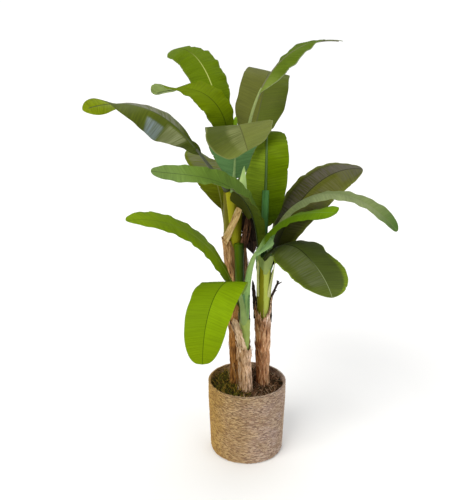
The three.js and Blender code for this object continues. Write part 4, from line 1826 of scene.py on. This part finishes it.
@dataclass
class MossBed:
    """Dark moss and fibre on top of the basket's filling, greener on the left."""

    top: float = 0.291
    radius: float = 0.1555
    seed: int = 5
    DEPTH = 0.022
    CLEAR = 0.014

    def bed(self) -> Piece:
        """The uneven bed that the tufts stand on.

        Returns:
            The bed, not yet seated.
        """
        rings = np.linspace(0.004, self.radius, 46)
        a = angles(120)
        x, y = rings[:, None] * np.cos(a), rings[:, None] * np.sin(a)
        noise = Noise(self.seed)
        z = self.top + 0.0042 * noise.at(x / 0.022 + 60, y / 0.022 + 60)
        z = z + 0.0018 * noise.at(x / 0.008 + 90, y / 0.008 + 90)
        z = z - 0.003 * smooth((rings[:, None] - 0.13) / 0.025)
        upper = np.stack([x, y, z], axis=2)
        under = upper[::-1] * np.array([1.0, 1.0, 0.0]) + np.array([0.0, 0.0, self.top - self.DEPTH])
        draft = Draft()
        draft.add_ring_grid(np.concatenate([upper, under]), 0)
        finish = TuftFinish("moss_ground", (0.032, 0.024, 0.007), (0.048, 0.029, 0.009)).material()
        return draft.make("moss_ground", [finish], 70.0)

    def patch(self, name: str, bed: Piece, middle: float, width: float) -> bpy.types.Mesh:
        """Copy of the bed's upper faces within a band of x, for one kind of tuft.

        Args:
            name: name of the copy.
            bed: the bed.
            middle: x at the middle of the band.
            width: how far the band reaches to each side.

        Returns:
            The copy, as a mesh.
        """
        mesh = bed.data.copy()
        mesh.name = name
        part = bmesh.new()
        part.from_mesh(mesh)
        off = []
        for face in part.faces:
            spot = face.calc_center_median()
            if (face.normal.z < 0.3 or spot.z < self.top - 0.015 or abs(spot.x - middle) > width
                    or spot.xy.length > self.radius - self.CLEAR):
                off.append(face)
        bmesh.ops.delete(part, geom=off, context="FACES")
        part.to_mesh(mesh)
        part.free()
        return mesh

    def make(self) -> list[Piece]:
        """Builds the bed and its tufts.

        Returns:
            The seated pieces.
        """
        bed = self.bed()
        kinds = (
            ("moss_tufts_green", -0.09, 0.1, (0.13, 0.12, 0.011), (0.042, 0.045, 0.007), 22000.0, 0.018),
            ("moss_tufts_dark", 0.0, 0.16, (0.05, 0.033, 0.008), (0.018, 0.012, 0.005), 15000.0, 0.018),
            ("moss_fibres_golden", -0.095, 0.08, (0.4, 0.25, 0.034), (0.125, 0.084, 0.018), 8000.0, 0.022),
            ("moss_fibres_brown", 0.08, 0.1, (0.24, 0.12, 0.058), (0.075, 0.036, 0.018), 20000.0, 0.02),
            ("moss_fibres_straw", 0.075, 0.09, (0.55, 0.37, 0.23), (0.22, 0.135, 0.08), 5200.0, 0.024),
        )
        made = []
        for number, (name, middle, width, colour, patch, density, length) in enumerate(kinds):
            finish = TuftFinish(name, colour, patch).material()
            piece = TUFT_TREE.grow(
                name, self.patch(name + "_ground", bed, middle, width), finish,
                Strands_Per_Square_Metre=density, Length=length, Thickness=0.0012, Lie=1.25,
                Bend=0.35, Seed=self.seed + number)
            made.append(seat(piece, "moss"))
        return [seat(bed, "moss", "moss_bed"), *made]


class LightKind(Enum):
    """Wide soft lamps of the studio: direction they stand in, strength, spread in degrees and colour."""

    KEY = ((-0.5, -0.62, 0.7), 2.3, 45.0, (1.0, 0.975, 0.93))
    FILL = ((0.75, -0.6, 0.4), 0.9, 60.0, (0.95, 0.97, 1.0))
    TOP = ((0.1, 0.35, 0.95), 1.1, 60.0, (1.0, 1.0, 1.0))


@dataclass
class Studio:
    """Camera, soft lamps, white surroundings and a plain pale floor."""

    eye: Place = (-0.0769, -2.475, 1.603)
    pitch_down: float = 16.08
    lens_mm: float = 46.02
    sensor_mm: float = 36.0
    floor_half: float = 60.0
    ambient: float = 0.34
    backdrop: float = 1.05

    def make_camera(self) -> None:
        """Places the camera at the photograph's viewing angle."""
        data = bpy.data.cameras.new("camera")
        data.lens = self.lens_mm
        data.sensor_width = self.sensor_mm
        data.clip_end = 200.0
        camera = add_object("camera", data)
        camera.location = self.eye
        camera.rotation_euler = (math.radians(90.0 - self.pitch_down), 0.0, 0.0)
        bpy.context.scene.camera = camera

    def make_lights(self) -> None:
        """Places the soft lamps and the surroundings, white behind the plant and dimmer as a light."""
        for kind in LightKind:
            way, strength, spread, colour = kind.value
            data = bpy.data.lights.new(f"lamp_{kind.name.lower()}", "SUN")
            data.energy = strength
            data.angle = math.radians(spread)
            data.color = colour
            lamp = add_object(data.name, data)
            lamp.location = tuple(3.0 * part for part in way)
            lamp.rotation_euler = Vector(way).to_track_quat("Z", "Y").to_euler()
        world = bpy.data.worlds.new("white_surroundings")
        world.use_nodes = True
        board = NodeBoard(world.node_tree)
        sky = world.node_tree.nodes["Background"]
        sky.inputs["Color"].default_value = (1.0, 1.0, 1.0, 1.0)
        seen = board.add("ShaderNodeLightPath").outputs["Is Camera Ray"]
        light = board.math("MULTIPLY_ADD", seen, self.backdrop - self.ambient, self.ambient)
        board.feed(sky.inputs["Strength"], light)
        bpy.context.scene.world = world
        bpy.context.scene.view_settings.view_transform = "Standard"

    def make_floor(self) -> None:
        """Makes the plain pale floor."""
        size = self.floor_half
        mesh = bpy.data.meshes.new("floor")
        mesh.from_pydata([(-size, -size, 0.0), (size, -size, 0.0), (size, size, 0.0), (-size, size, 0.0)],
                         [], [(0, 1, 2, 3)])
        surface = Surface("pale_floor", 0.8, 0.1)
        cloud = surface.noise(surface.here(), 1.5)
        tone = surface.fade(cloud, 0.3, 0.7, (0.93, 0.93, 0.93), (0.95, 0.95, 0.95))
        mesh.materials.append(surface.paint(tone))
        add_object("floor", mesh)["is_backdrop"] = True

    def make(self) -> None:
        """Sets up the whole studio."""
        self.make_camera()
        self.make_lights()
        self.make_floor()


ROPE_TREE = build_rope_tree()
TUFT_TREE = build_tuft_tree()
FIBRE_TREE = build_fibre_tree()

SAP_GREEN = LeafFinish(
    "sap_green", upper=(0.092, 0.146, 0.002), base=(0.08, 0.12, 0.001), tip=(0.13, 0.195, 0.024),
    under=(0.17, 0.22, 0.06), rib=(0.4, 0.44, 0.12), rib_tip=(0.045, 0.06, 0.001), margin=(0.13, 0.17, 0.03),
    rim=0.9, shine=0.02)
BRIGHT_GREEN = LeafFinish(
    "bright_green", upper=(0.118, 0.172, 0.001), base=(0.022, 0.038, 0.001), tip=(0.12, 0.17, 0.004),
    under=(0.27, 0.36, 0.1), rib=(0.022, 0.036, 0.001), rib_tip=(0.06, 0.09, 0.002),
    stalk=(0.05, 0.07, 0.004), shine=0.01, under_shine=0.03, base_to=0.44)
GLOSSY_GREEN = LeafFinish(
    "glossy_green", upper=(0.08, 0.104, 0.006), base=(0.04, 0.055, 0.006), tip=(0.09, 0.12, 0.005),
    under=(0.235, 0.305, 0.005), rib=(0.06, 0.08, 0.02), spine=(0.09, 0.11, 0.05), stalk=(0.1, 0.11, 0.07),
    sheens=(Sheen((0.25, 0.31, 0.35), 0.85, (0.39, 0.5), (0.42, 0.95), Half.LEFT, 0.0035, 0.04),
            Sheen((0.36, 0.38, 0.21), 0.62, (0.19, 0.32), (0.2, 1.0), Half.LEFT, 0.0025, 0.05),
            Sheen((0.24, 0.235, 0.2), 0.7, (0.3, 0.72), (0.0, 1.0), Half.RIGHT)),
    gloss=0.4, shine=0.1, veining=0.3)
OLIVE_BACK = LeafFinish(
    "olive_back", upper=(0.155, 0.185, 0.006), base=(0.09, 0.095, 0.003), tip=(0.17, 0.24, 0.02),
    under=(0.13, 0.13, 0.04), rib=(0.24, 0.25, 0.06), stalk=(0.16, 0.16, 0.02),
    sheens=(Sheen((0.21, 0.2, 0.15), 0.6, (0.45, 1.0), (0.0, 0.7), Half.BOTH, 0.006),),
    shine=0.04, veining=0.32)
DEEP_GREEN = LeafFinish(
    "deep_green", upper=(0.14, 0.162, 0.026), base=(0.06, 0.08, 0.004), tip=(0.14, 0.17, 0.03),
    right=(0.054, 0.072, 0.003), under=(0.12, 0.25, 0.085), rib=(0.062, 0.068, 0.01),
    stalk=(0.24, 0.36, 0.13), margin=(0.17, 0.19, 0.06), rim=0.94, shine=0.1, veining=0.28,
    sheens=(Sheen((0.19, 0.21, 0.07), 0.75, (0.2, 1.0), (0.0, 0.28), Half.RIGHT, 0.006),))
GREY_OLIVE = LeafFinish(
    "grey_olive", upper=(0.104, 0.114, 0.018), base=(0.066, 0.074, 0.008), tip=(0.18, 0.175, 0.09),
    right=(0.07, 0.094, 0.004), under=(0.17, 0.17, 0.08), rib=(0.07, 0.08, 0.02), shine=0.1, veining=0.2)
LIGHT_GREEN = LeafFinish(
    "light_green", upper=(0.09, 0.142, 0.008), base=(0.2, 0.26, 0.05), tip=(0.12, 0.11, 0.06),
    under=(0.16, 0.2, 0.07), rib=(0.3, 0.37, 0.14), rib_tip=(0.2, 0.24, 0.1),
    spine=(0.15, 0.15, 0.07), stalk=(0.26, 0.32, 0.11),
    margin=(0.24, 0.27, 0.16), rim=0.92, tip_from=0.84)
SOFT_GREEN = LeafFinish(
    "soft_green", upper=(0.14, 0.23, 0.034), base=(0.014, 0.024, 0.001), tip=(0.13, 0.205, 0.05),
    under=(0.072, 0.104, 0.006), rib=(0.04, 0.06, 0.018), spine=(0.055, 0.075, 0.03), veining=0.28,
    sheens=(Sheen((0.105, 0.155, 0.02), 0.85, (0.05, 0.42), (0.35, 1.0), Half.LEFT, 0.02, 0.2),),
    base_to=0.46, shine=0.04)
RIBBED_GREEN = LeafFinish(
    "ribbed_green", upper=(0.215, 0.315, 0.018), base=(0.03, 0.055, 0.001), tip=(0.14, 0.19, 0.02),
    right=(0.118, 0.19, 0.001), under=(0.22, 0.26, 0.1), rib=(0.045, 0.08, 0.006), line=0.0075,
    spine=(0.11, 0.19, 0.05), stalk=(0.095, 0.27, 0.07), stalk_base=(0.016, 0.05, 0.004),
    veining=0.42, base_to=0.35, shine=0.02)
BROWN_GREEN = LeafFinish(
    "brown_green", upper=(0.05, 0.054, 0.003), base=(0.01, 0.013, 0.001), tip=(0.115, 0.12, 0.045),
    right=(0.088, 0.094, 0.01), under=(0.13, 0.13, 0.05), rib=(0.014, 0.014, 0.004),
    margin=(0.13, 0.15, 0.02), rim=0.72,
    sheens=(Sheen((0.095, 0.08, 0.066), 0.7, (0.35, 0.95), (0.05, 0.6), Half.LEFT, 0.006),
            Sheen((0.11, 0.1, 0.085), 0.5, (0.8, 0.98), (0.0, 0.5), Half.BOTH, 0.008, 0.06),
            Sheen((0.13, 0.125, 0.06), 0.5, (0.3, 0.7), (0.3, 1.0), Half.RIGHT, 0.006)),
    gloss=0.45, shine=0.06, veining=0.28, base_to=0.5)
PALE_GREEN = LeafFinish(
    "pale_green", upper=(0.175, 0.225, 0.075), base=(0.26, 0.27, 0.11), tip=(0.06, 0.125, 0.018),
    right=(0.215, 0.265, 0.105), under=(0.12, 0.15, 0.03), rib=(0.16, 0.2, 0.07), shine=0.08,
    veining=0.26, tip_from=0.74)
FRESH_GREEN = LeafFinish(
    "fresh_green", upper=(0.08, 0.15, 0.002), base=(0.28, 0.44, 0.15), tip=(0.13, 0.24, 0.003),
    under=(0.2, 0.33, 0.1), rib=(0.14, 0.24, 0.04), spine=(0.3, 0.42, 0.16), stalk=(0.33, 0.46, 0.16),
    stalk_base=(0.24, 0.4, 0.12), base_from=0.12, base_to=0.24)
LIME_EDGED = LeafFinish(
    "lime_edged", upper=(0.058, 0.08, 0.01), base=(0.052, 0.06, 0.008), tip=(0.08, 0.11, 0.012),
    right=(0.072, 0.094, 0.011), under=(0.16, 0.2, 0.07), rib=(0.012, 0.016, 0.002),
    rib_tip=(0.22, 0.26, 0.12), stalk=(0.035, 0.045, 0.006), margin=(0.17, 0.25, 0.004),
    sheens=(Sheen((0.115, 0.13, 0.07), 0.5, (0.3, 0.8), (0.1, 0.6), Half.RIGHT, 0.007),
            Sheen((0.18, 0.27, 0.004), 0.8, (0.64, 0.98), (0.88, 1.0), Half.LEFT, 0.004, 0.16)),
    shine=0.1, veining=0.28)
YELLOW_GREEN = LeafFinish(
    "yellow_green", upper=(0.175, 0.275, 0.004), base=(0.05, 0.06, 0.001), tip=(0.185, 0.285, 0.005),
    under=(0.18, 0.24, 0.05), rib=(0.26, 0.34, 0.08), rib_tip=(0.1, 0.15, 0.002), stalk=(0.06, 0.08, 0.004),
    base_to=0.36)
LEMON_GREEN = LeafFinish(
    "lemon_green", upper=(0.185, 0.295, 0.002), base=(0.034, 0.098, 0.001), tip=(0.15, 0.225, 0.001),
    right=(0.142, 0.23, 0.002), under=(0.2, 0.3, 0.05), rib=(0.05, 0.09, 0.001),
    stalk=(0.24, 0.34, 0.1), veining=0.18, base_to=0.46)

LEAVES = (
    Leaf("leaf_a1", "a", 116, 5, 71, -32, 0.76, 1.2, (-11, -27), (-3, -8), -16, 0.214, 0.65, 0.078,
         SAP_GREEN, place=100, tears=6, wave=0.0035, dents=((1.0, 0.8, 0.055, 0.016),), tip_power=0.28,
         seed=101, rib_width=0.004),
    Leaf("leaf_a2", "a", 163, -13, 92, -11, 0.56, 0.7, (-12, -7), (-8, 22), -10, 0.159, 0.488, 0.101,
         BRIGHT_GREEN, tip_roll=29, tip_power=0.5, place=155, tears=7, wave=0.003, seed=102),
    Leaf("leaf_a3", "a", 227, -48, 50, -29, 0.75, 0.87, (-84, 8), (-44, 18), -32, 0.198, 0.501, 0.088,
         GLOSSY_GREEN, tip_roll=44, place=205, split=False, tears=1, wave=0.0012, tube=(0.0085, 0.005),
         rib_width=0.0034, seed=103),
    Leaf("leaf_a5", "a", 124, -10, 71, 17, 0.47, 0.62, (-9, 14), (11, -6), -9, 0.062, 0.38, 0.086,
         OLIVE_BACK, root=(-0.092, 0.036, 0.985), split=False, tube=(0.005, 0.0045), seed=105),
    Leaf("leaf_a6", "a", -80, -6, 72, -13, 0.48, 0.25, (-15, 31), (11, -3), -6, 0.057, 0.534, 0.115,
         DEEP_GREEN, place=270, wave=0.0015, tears=2, tip_power=0.36, base_power=0.5,
         dents=((-1.0, 0.2, 0.07, 0.027), (1.0, 0.62, 0.09, -0.014)),
         tube=(0.0085, 0.0055), seed=106),
    Leaf("leaf_a7", "a", 60, 16, 55, -25, 0.81, 0.33, (16, 11), (23, -3), -3, 0.164, 0.54, 0.103,
         GREY_OLIVE, tip_power=0.46, place=45, tears=2, wave=0.0015, seed=107),
    Leaf("leaf_a8", "a", 24, 2, 82, -22, 0.71, 1.11, (-6, -1), (-26, 29), -16, 0.374, 0.461, 0.089,
         LIGHT_GREEN, place=-20, tube=(0.0095, 0.0045), wave=0.0028, tail=0.67, least=0.0034,
         rib_end=0.003, rib_shape=RibShape.ROUND, seed=108),
    Leaf("leaf_c4", "c", 258, -60, 89, 9, 0.42, 1.01, (-54, -15), (34, -14), 22, 0.083, 0.7, 0.065,
         SOFT_GREEN, tip_roll=-20, base_power=0.6, tip_power=0.45, tuck=0.7, place=200, wave=0.003,
         seed=109),
    Leaf("leaf_c9", "c", 80, 9, 76, -10, 0.74, 0.44, (-2, -16), (0, -9), -18, 0.183, 0.566, 0.091,
         RIBBED_GREEN, place=100, sleeve=0.15, tube=(0.0135, 0.0145), rib_width=0.0055, rib_over=True,
         rib_end=0.004, rib_shape=RibShape.ROUND, base_power=0.45, tuck=0.5, wave=0.0015, seed=110),
    Leaf("leaf_c10", "c", 32, 2, 70, -30, 0.7, 1.41, (-4, 41), (2, -17), -13, 0.03, 0.666, 0.103,
         BROWN_GREEN, base_power=0.55, tuck=0.7, place=40, seed=111),
    Leaf("leaf_c11", "c", -2, -20, 100, -47, 0.48, 1.16, (-1, 2), (-16, 16), -10, 0.169, 0.598, 0.085,
         PALE_GREEN, tip_roll=12, tip_power=0.5, tuck=0.8, place=-20, seed=112),
    Leaf("leaf_c13", "c", -26, -60, 100, -21, 0.24, 0.71, (13, 4), (-10, 3), -9, 0.102, 0.461, 0.114,
         LIME_EDGED, place=262, tube=(0.0085, 0.0075), tears=2,
         stalk_via=((0.062, -0.006, 0.8), (0.06, -0.036, 0.866)), dents=((-1.0, 0.5, 0.045, 0.022),),
         seed=113),
    Leaf("leaf_b12", "b", -48, 0, 92, 6, 0.51, 1.05, (40, 4), (-16, 2), -14, 0.276, 0.481, 0.078,
         FRESH_GREEN, tip_roll=28, tip_power=0.32, base_power=0.62, place=10, tube=(0.013, 0.0045),
         dents=((1.0, 0.36, 0.15, 0.032), (1.0, 0.88, 0.11, 0.022), (-1.0, 0.8, 0.1, 0.014)),
         tube_power=2.8, stalk_via=((-0.011, -0.06, 0.606), (-0.0056, -0.062, 0.833)), sleeve=0.02,
         tears=4, seed=114),
    Leaf("leaf_b14", "b", 202, 26, 81, -7, 0.58, 1.5, (-34, -19), (-1, 6), -12, 0.111, 0.649, 0.088,
         YELLOW_GREEN, place=160, tears=4, seed=115),
    Leaf("leaf_b15", "b", -112, -2, 73, -87, 0.52, 1.04, (17, -30), (3, 0), -8, 0.116, 0.546, 0.083,
         LEMON_GREEN, tip_power=0.36, place=250, tears=0, wave=0.0012, seed=116),
)

# The left and right tints of the husks are painted light: warm from the left, cooler and pinkish from the
# right.
HUSK_WARM = FibreFinish(
    "husk_warm", (0.05, 0.02, 0.006), (0.26, 0.14, 0.045), (0.56, 0.37, 0.17),
    left=(1.25, 1.2, 1.0), right=(0.95, 0.88, 0.9), centre=-0.045, half=0.04,
    low=(0.66, 0.5, 0.3), high=(1.05, 1.05, 1.25), level=0.56)
HUSK_PALE = FibreFinish(
    "husk_pale", (0.085, 0.045, 0.022), (0.44, 0.27, 0.14), (0.8, 0.6, 0.42),
    left=(0.8, 0.72, 0.58), right=(1.6, 1.66, 1.9), centre=-0.002, half=0.024)
HUSK_RED = FibreFinish(
    "husk_red", (0.068, 0.022, 0.008), (0.41, 0.19, 0.07), (0.82, 0.55, 0.3),
    left=(0.72, 0.56, 0.42), right=(1.12, 1.12, 1.3), centre=0.066, half=0.026,
    high=(1.05, 1.28, 1.7), level=0.57)
STRIP_TAN = FibreFinish("strip_tan", (0.16, 0.085, 0.04), (0.5, 0.34, 0.19), (0.76, 0.58, 0.4))
STRIP_ORANGE = FibreFinish("strip_orange", (0.07, 0.026, 0.006), (0.28, 0.125, 0.03), (0.46, 0.26, 0.08))
DRIED_RED = FibreFinish("dried_red", (0.012, 0.005, 0.003), (0.075, 0.03, 0.012), (0.22, 0.11, 0.05))
# Near-black dried fibre; on the wide strips behind stem A it also paints the shadow in the pocket there.
DRIED_DARK_AND_SHADOW = FibreFinish("dried_dark", (0.004, 0.003, 0.002), (0.018, 0.01, 0.006), (0.065, 0.035, 0.02))
RIBBON_TAN = FibreFinish("ribbon_tan", (0.3, 0.17, 0.06), (0.6, 0.4, 0.15), (0.78, 0.6, 0.32))
STEM_OLIVE = StemFinish(
    "stem_olive", (0.14, 0.125, 0.003), (0.19, 0.168, 0.004), (0.31, 0.295, 0.01),
    wrap=(0.4, 0.38, 0.012), spread=0.55)
STEM_YELLOW = StemFinish(
    "stem_yellow", (0.17, 0.17, 0.003), (0.215, 0.21, 0.004), (0.3, 0.32, 0.02),
    wrap=(0.42, 0.48, 0.085), spread=0.72)
SHEATH_GREEN = StemFinish(
    "sheath_green", (0.014, 0.034, 0.001), (0.02, 0.045, 0.001), (0.04, 0.08, 0.002),
    wrap=(0.08, 0.145, 0.002), spread=0.42)
STEM_PALE = StemFinish("stem_pale", (0.35, 0.43, 0.1), (0.3, 0.4, 0.09), (0.44, 0.52, 0.15))
TEAL_CORE = StemFinish("teal_core", (0.1, 0.22, 0.085), (0.15, 0.28, 0.1), (0.18, 0.32, 0.13))
TEAL_PALE = StemFinish("teal_pale", (0.25, 0.42, 0.15), (0.34, 0.52, 0.2), (0.42, 0.6, 0.26))
WEDGE_PALE = StemFinish("wedge_pale", (0.5, 0.68, 0.24), (0.58, 0.76, 0.28), (0.72, 0.86, 0.42))
# Painted shade: dark olive for a leaf sheet that lies in shadow beside stem A.
OLIVE_PAINTED_SHADE = StemFinish("olive_shade", (0.06, 0.07, 0.002), (0.075, 0.09, 0.003), (0.09, 0.11, 0.006))
BRACT_LIGHT = StemFinish("bract_light", (0.3, 0.37, 0.11), (0.26, 0.34, 0.1), (0.42, 0.5, 0.17))
BRACT_PALE = StemFinish("bract_pale", (0.22, 0.29, 0.075), (0.18, 0.25, 0.065), (0.33, 0.4, 0.13))
PALE_EDGE = StemFinish("pale_edge", (0.42, 0.45, 0.16), (0.5, 0.52, 0.22), (0.56, 0.58, 0.28))
SPEAR_LIME = StemFinish("spear_lime", (0.14, 0.26, 0.006), (0.2, 0.34, 0.01), (0.26, 0.42, 0.02))

HUSKS = (
    Husk("husk_a", STEM_LINES["husk_a"], HUSK_WARM, ("husk_a_lower", "husk_a_upper"), 0.945,
         notches=((290.0, 36.0, 0.22, 9.0),), seed=21, fibres=900.0),
    Husk("husk_b", STEM_LINES["husk_b"], HUSK_PALE, ("husk_b",), 0.512,
         notches=((310.0, 85.0, 0.045, 50.0),), knots=(0.432, 0.448), seed=22, skew=0.5),
    Husk("husk_c", STEM_LINES["husk_c"], HUSK_RED, ("husk_c",), 0.66,
         notches=((266.0, 62.0, 0.052, 62.0), (350.0, 44.0, -0.032, 34.0)), seed=23, fibres=1400.0, skew=1.2),
)
GREEN_STEMS = (
    GreenStem("green_a", STEM_LINES["green_a"], STEM_OLIVE, "green_stem_a", "green_stem", 0.66,
              wind=0.6, phase=0.26),
    GreenStem("green_b", STEM_LINES["green_b"], STEM_PALE, "green_stem_b", "bract", 0.44, wraps=2),
    GreenStem("green_c", STEM_LINES["green_c"], STEM_YELLOW, "green_stem_c", "green_stem", 0.57,
              wraps=2, wind=4.0, phase=0.33),
    GreenStem("sheath_a", STEM_LINES["sheath_a"], SHEATH_GREEN, "green_sheath_a", "sheath", 0.7,
              wraps=1, wind=9.0, phase=0.42, closing=0.003),
)
STRIPS = (
    Strip("husk_ribbon_a", Arch((-0.089, -0.01, 0.93), -28, 66, 67, 0.152, (-112, -86)),
          (0.036, 0.026), 0.0035, RIBBON_TAN, "husk", ragged=0.04, square=True, start=-0.06, seed=31),
    Strip("dry_strip_a1", Arch((-0.023, -0.012, 0.912), 0, 80, 80, 0.142, (75, 105)),
          (0.02, 0.012), 0.0025, DRIED_RED, "dried", seed=32),
    # The near-black dried strips behind stem A are partly real dried sheath and partly painted shadow filling
    # the dark pocket beside leaf_c4.
    Strip("dry_strip_a2", Arch((-0.002, 0.014, 0.896), 0, 92, 92, 0.155, bend_over=0.8),
          (0.036, 0.06), 0.0025, DRIED_DARK_AND_SHADOW, "dried", seed=33),
    Strip("dark_strip_a3", Arch((0.0215, 0.009, 0.87), 180, 79, 79, 0.052),
          (0.002, 0.07), 0.002, DRIED_DARK_AND_SHADOW, "dried", ragged=0.05, square=True, spare=True, seed=38),
    # A dark olive sheet that paints the shaded part of leaf_c4's blade beside stem A.
    Strip("dark_leaf_a", Arch((0.006, -0.03, 1.027), 180, 63, 49, 0.128),
          (0.014, 0.06), 0.002, OLIVE_PAINTED_SHADE, "leaf", ragged=0.03, cup=0.1, spare=True, seed=49),
    Strip("dark_strip_a4", Arch((-0.012, -0.01, 0.905), 20, 70, 96, 0.135, (60, 140)),
          (0.009, 0.005), 0.002, DRIED_RED, "dried", spare=True, seed=39),
    Strip("husk_strip_b1", Arch((-0.021, -0.085, 0.497), 180, 75, 73, 0.136),
          (0.03, 0.03), 0.003, STRIP_TAN, "husk", start=-0.1, seed=34),
    Strip("husk_top_b", Arch((-0.06, -0.082, 0.614), 0, 82, 76, 0.074),
          (0.03, 0.022), 0.003, STRIP_ORANGE, "husk", spare=True, seed=47),
    Strip("husk_slit_b", Arch((-0.047, -0.089, 0.545), 180, 72, 70, 0.085),
          (0.003, 0.006), 0.002, DRIED_RED, "dried", spare=True, seed=48),
    Strip("dry_strip_b2", Arch((0.0045, -0.068, 0.604), 180, 88, 88, 0.08),
          (0.008, 0.006), 0.0025, DRIED_DARK_AND_SHADOW, "dried", seed=35),
    Strip("inner_sheath_b", Arch((-0.01, -0.074, 0.575), 180, 89, 91, 0.15),
          (0.01, 0.036), 0.002, TEAL_CORE, "bract", ragged=0.02, square=True, spare=True, seed=40),
    # Near-black dried strip, partly painted shadow in the pocket behind stem A.
    Strip("dark_strip_a5", Arch((0.021, 0.012, 0.904), 0, 96, 98, 0.12),
          (0.028, 0.05), 0.0025, DRIED_DARK_AND_SHADOW, "dried", spare=True, seed=43),
    Strip("pale_wedge_a", Arch((-0.0275, -0.068, 1.144), 0, 85, 85, 0.096),
          (0.038, 0.003), 0.002, WEDGE_PALE, "bract", ragged=0.02, spare=True, seed=46),
    Strip("torn_base_c", Arch((0.026, -0.105, 0.901), -28, 46, 46, 0.1, bend_over=0.8),
          (0.014, 0.046), 0.002, TEAL_PALE, "bract", ragged=0.1, spare=True, seed=44),
    Strip("dry_point_c1", Arch((0.037, -0.004, 0.596), 180, 84, 84, 0.168, bend_over=0.8),
          (0.02, 0.01), 0.003, DRIED_DARK_AND_SHADOW, "dried", seed=36),
    Strip("pale_edge_c", Arch((0.042, -0.024, 0.7), 180, 88, 90, 0.155),
          (0.006, 0.009), 0.002, PALE_EDGE, "bract", ragged=0.05, spare=True, seed=41),
)
TWIG = Twig("dry_twig_c2", Arch((0.095, -0.006, 0.598), -5, 91, 68, 0.168, bend_over=0.4),
            (0.0058, 0.004), ((0.9, 34.0, 0.024), (0.93, -30.0, 0.016), (0.7, 40.0, 0.014)),
            DRIED_DARK_AND_SHADOW, seed=37)
WRAPS = (
    Wrap("bract_c_left", STEM_LINES["green_c"],
         ((165, 0.835), (205, 0.848), (240, 0.825), (270, 0.803), (285, 0.795)),
         ((165, 0.85), (205, 0.886), (235, 0.874), (268, 0.853), (285, 0.85)),
         BRACT_PALE, "bract"),
    Wrap("bract_c_right", STEM_LINES["green_c"],
         ((262, 0.798), (285, 0.795), (310, 0.82), (340, 0.845), (380, 0.835)),
         ((262, 0.849), (275, 0.855), (300, 0.874), (330, 0.872), (380, 0.85)), BRACT_LIGHT, "bract",
         gap=0.003),
    Wrap("torn_collar_c", STEM_LINES["green_c"], ((235, 0.846), (305, 0.846)), ((235, 0.864), (305, 0.87)),
         SHEATH_GREEN, "sheath", spare=True, gap=-0.001, ragged=0.009, seed=45),
    Wrap("outer_sheath_c", STEM_LINES["green_c"], ((300, 0.7), (330, 0.69), (400, 0.7)),
         ((300, 0.72), (325, 0.8), (345, 0.85), (400, 0.78)), PALE_EDGE, "bract",
         spare=True, gap=0.001, lean=(0.0, 0.012)),
    Wrap("torn_collar_b", STEM_LINES["husk_b"], ((150, 0.452), (270, 0.436), (300, 0.446), (390, 0.468)),
         ((150, 0.5), (270, 0.492), (300, 0.486), (390, 0.496)), HUSK_PALE, "husk",
         spare=True, gap=0.001, lean=(0.0085, 0.0), ragged=0.009, seed=42),
)


def finish_weight() -> None:
    """Gives the hidden cast weight its own rough surface."""
    surface = Surface("rough_cast", 0.95, 0.2)
    here = surface.here()
    grit = surface.noise(here, 220.0, 4.0)
    tone = surface.fade(grit, 0.35, 0.65, (0.25, 0.24, 0.23), (0.36, 0.35, 0.33))
    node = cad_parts["cast_weight"]
    node.data.materials.clear()
    node.data.materials.append(surface.paint(tone, grit, 0.001))


def main() -> None:
    """Builds every sub-assembly in order and reports each piece."""
    logging.basicConfig(level=logging.INFO, format="%(message)s")
    Studio().make()
    Basket().make()
    MossBed().make()
    finish_weight()
    for group in (HUSKS, GREEN_STEMS, STRIPS, (TWIG,), WRAPS, (Spear(),), LEAVES):
        for part in group:
            part.make()
    LOG.info("all pieces made")
    boxes = {"cad": [list(corner) for corner in CAD_BOX],
             "visual": [list(corner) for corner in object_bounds()]}


if __name__ == "__main__":
    main()
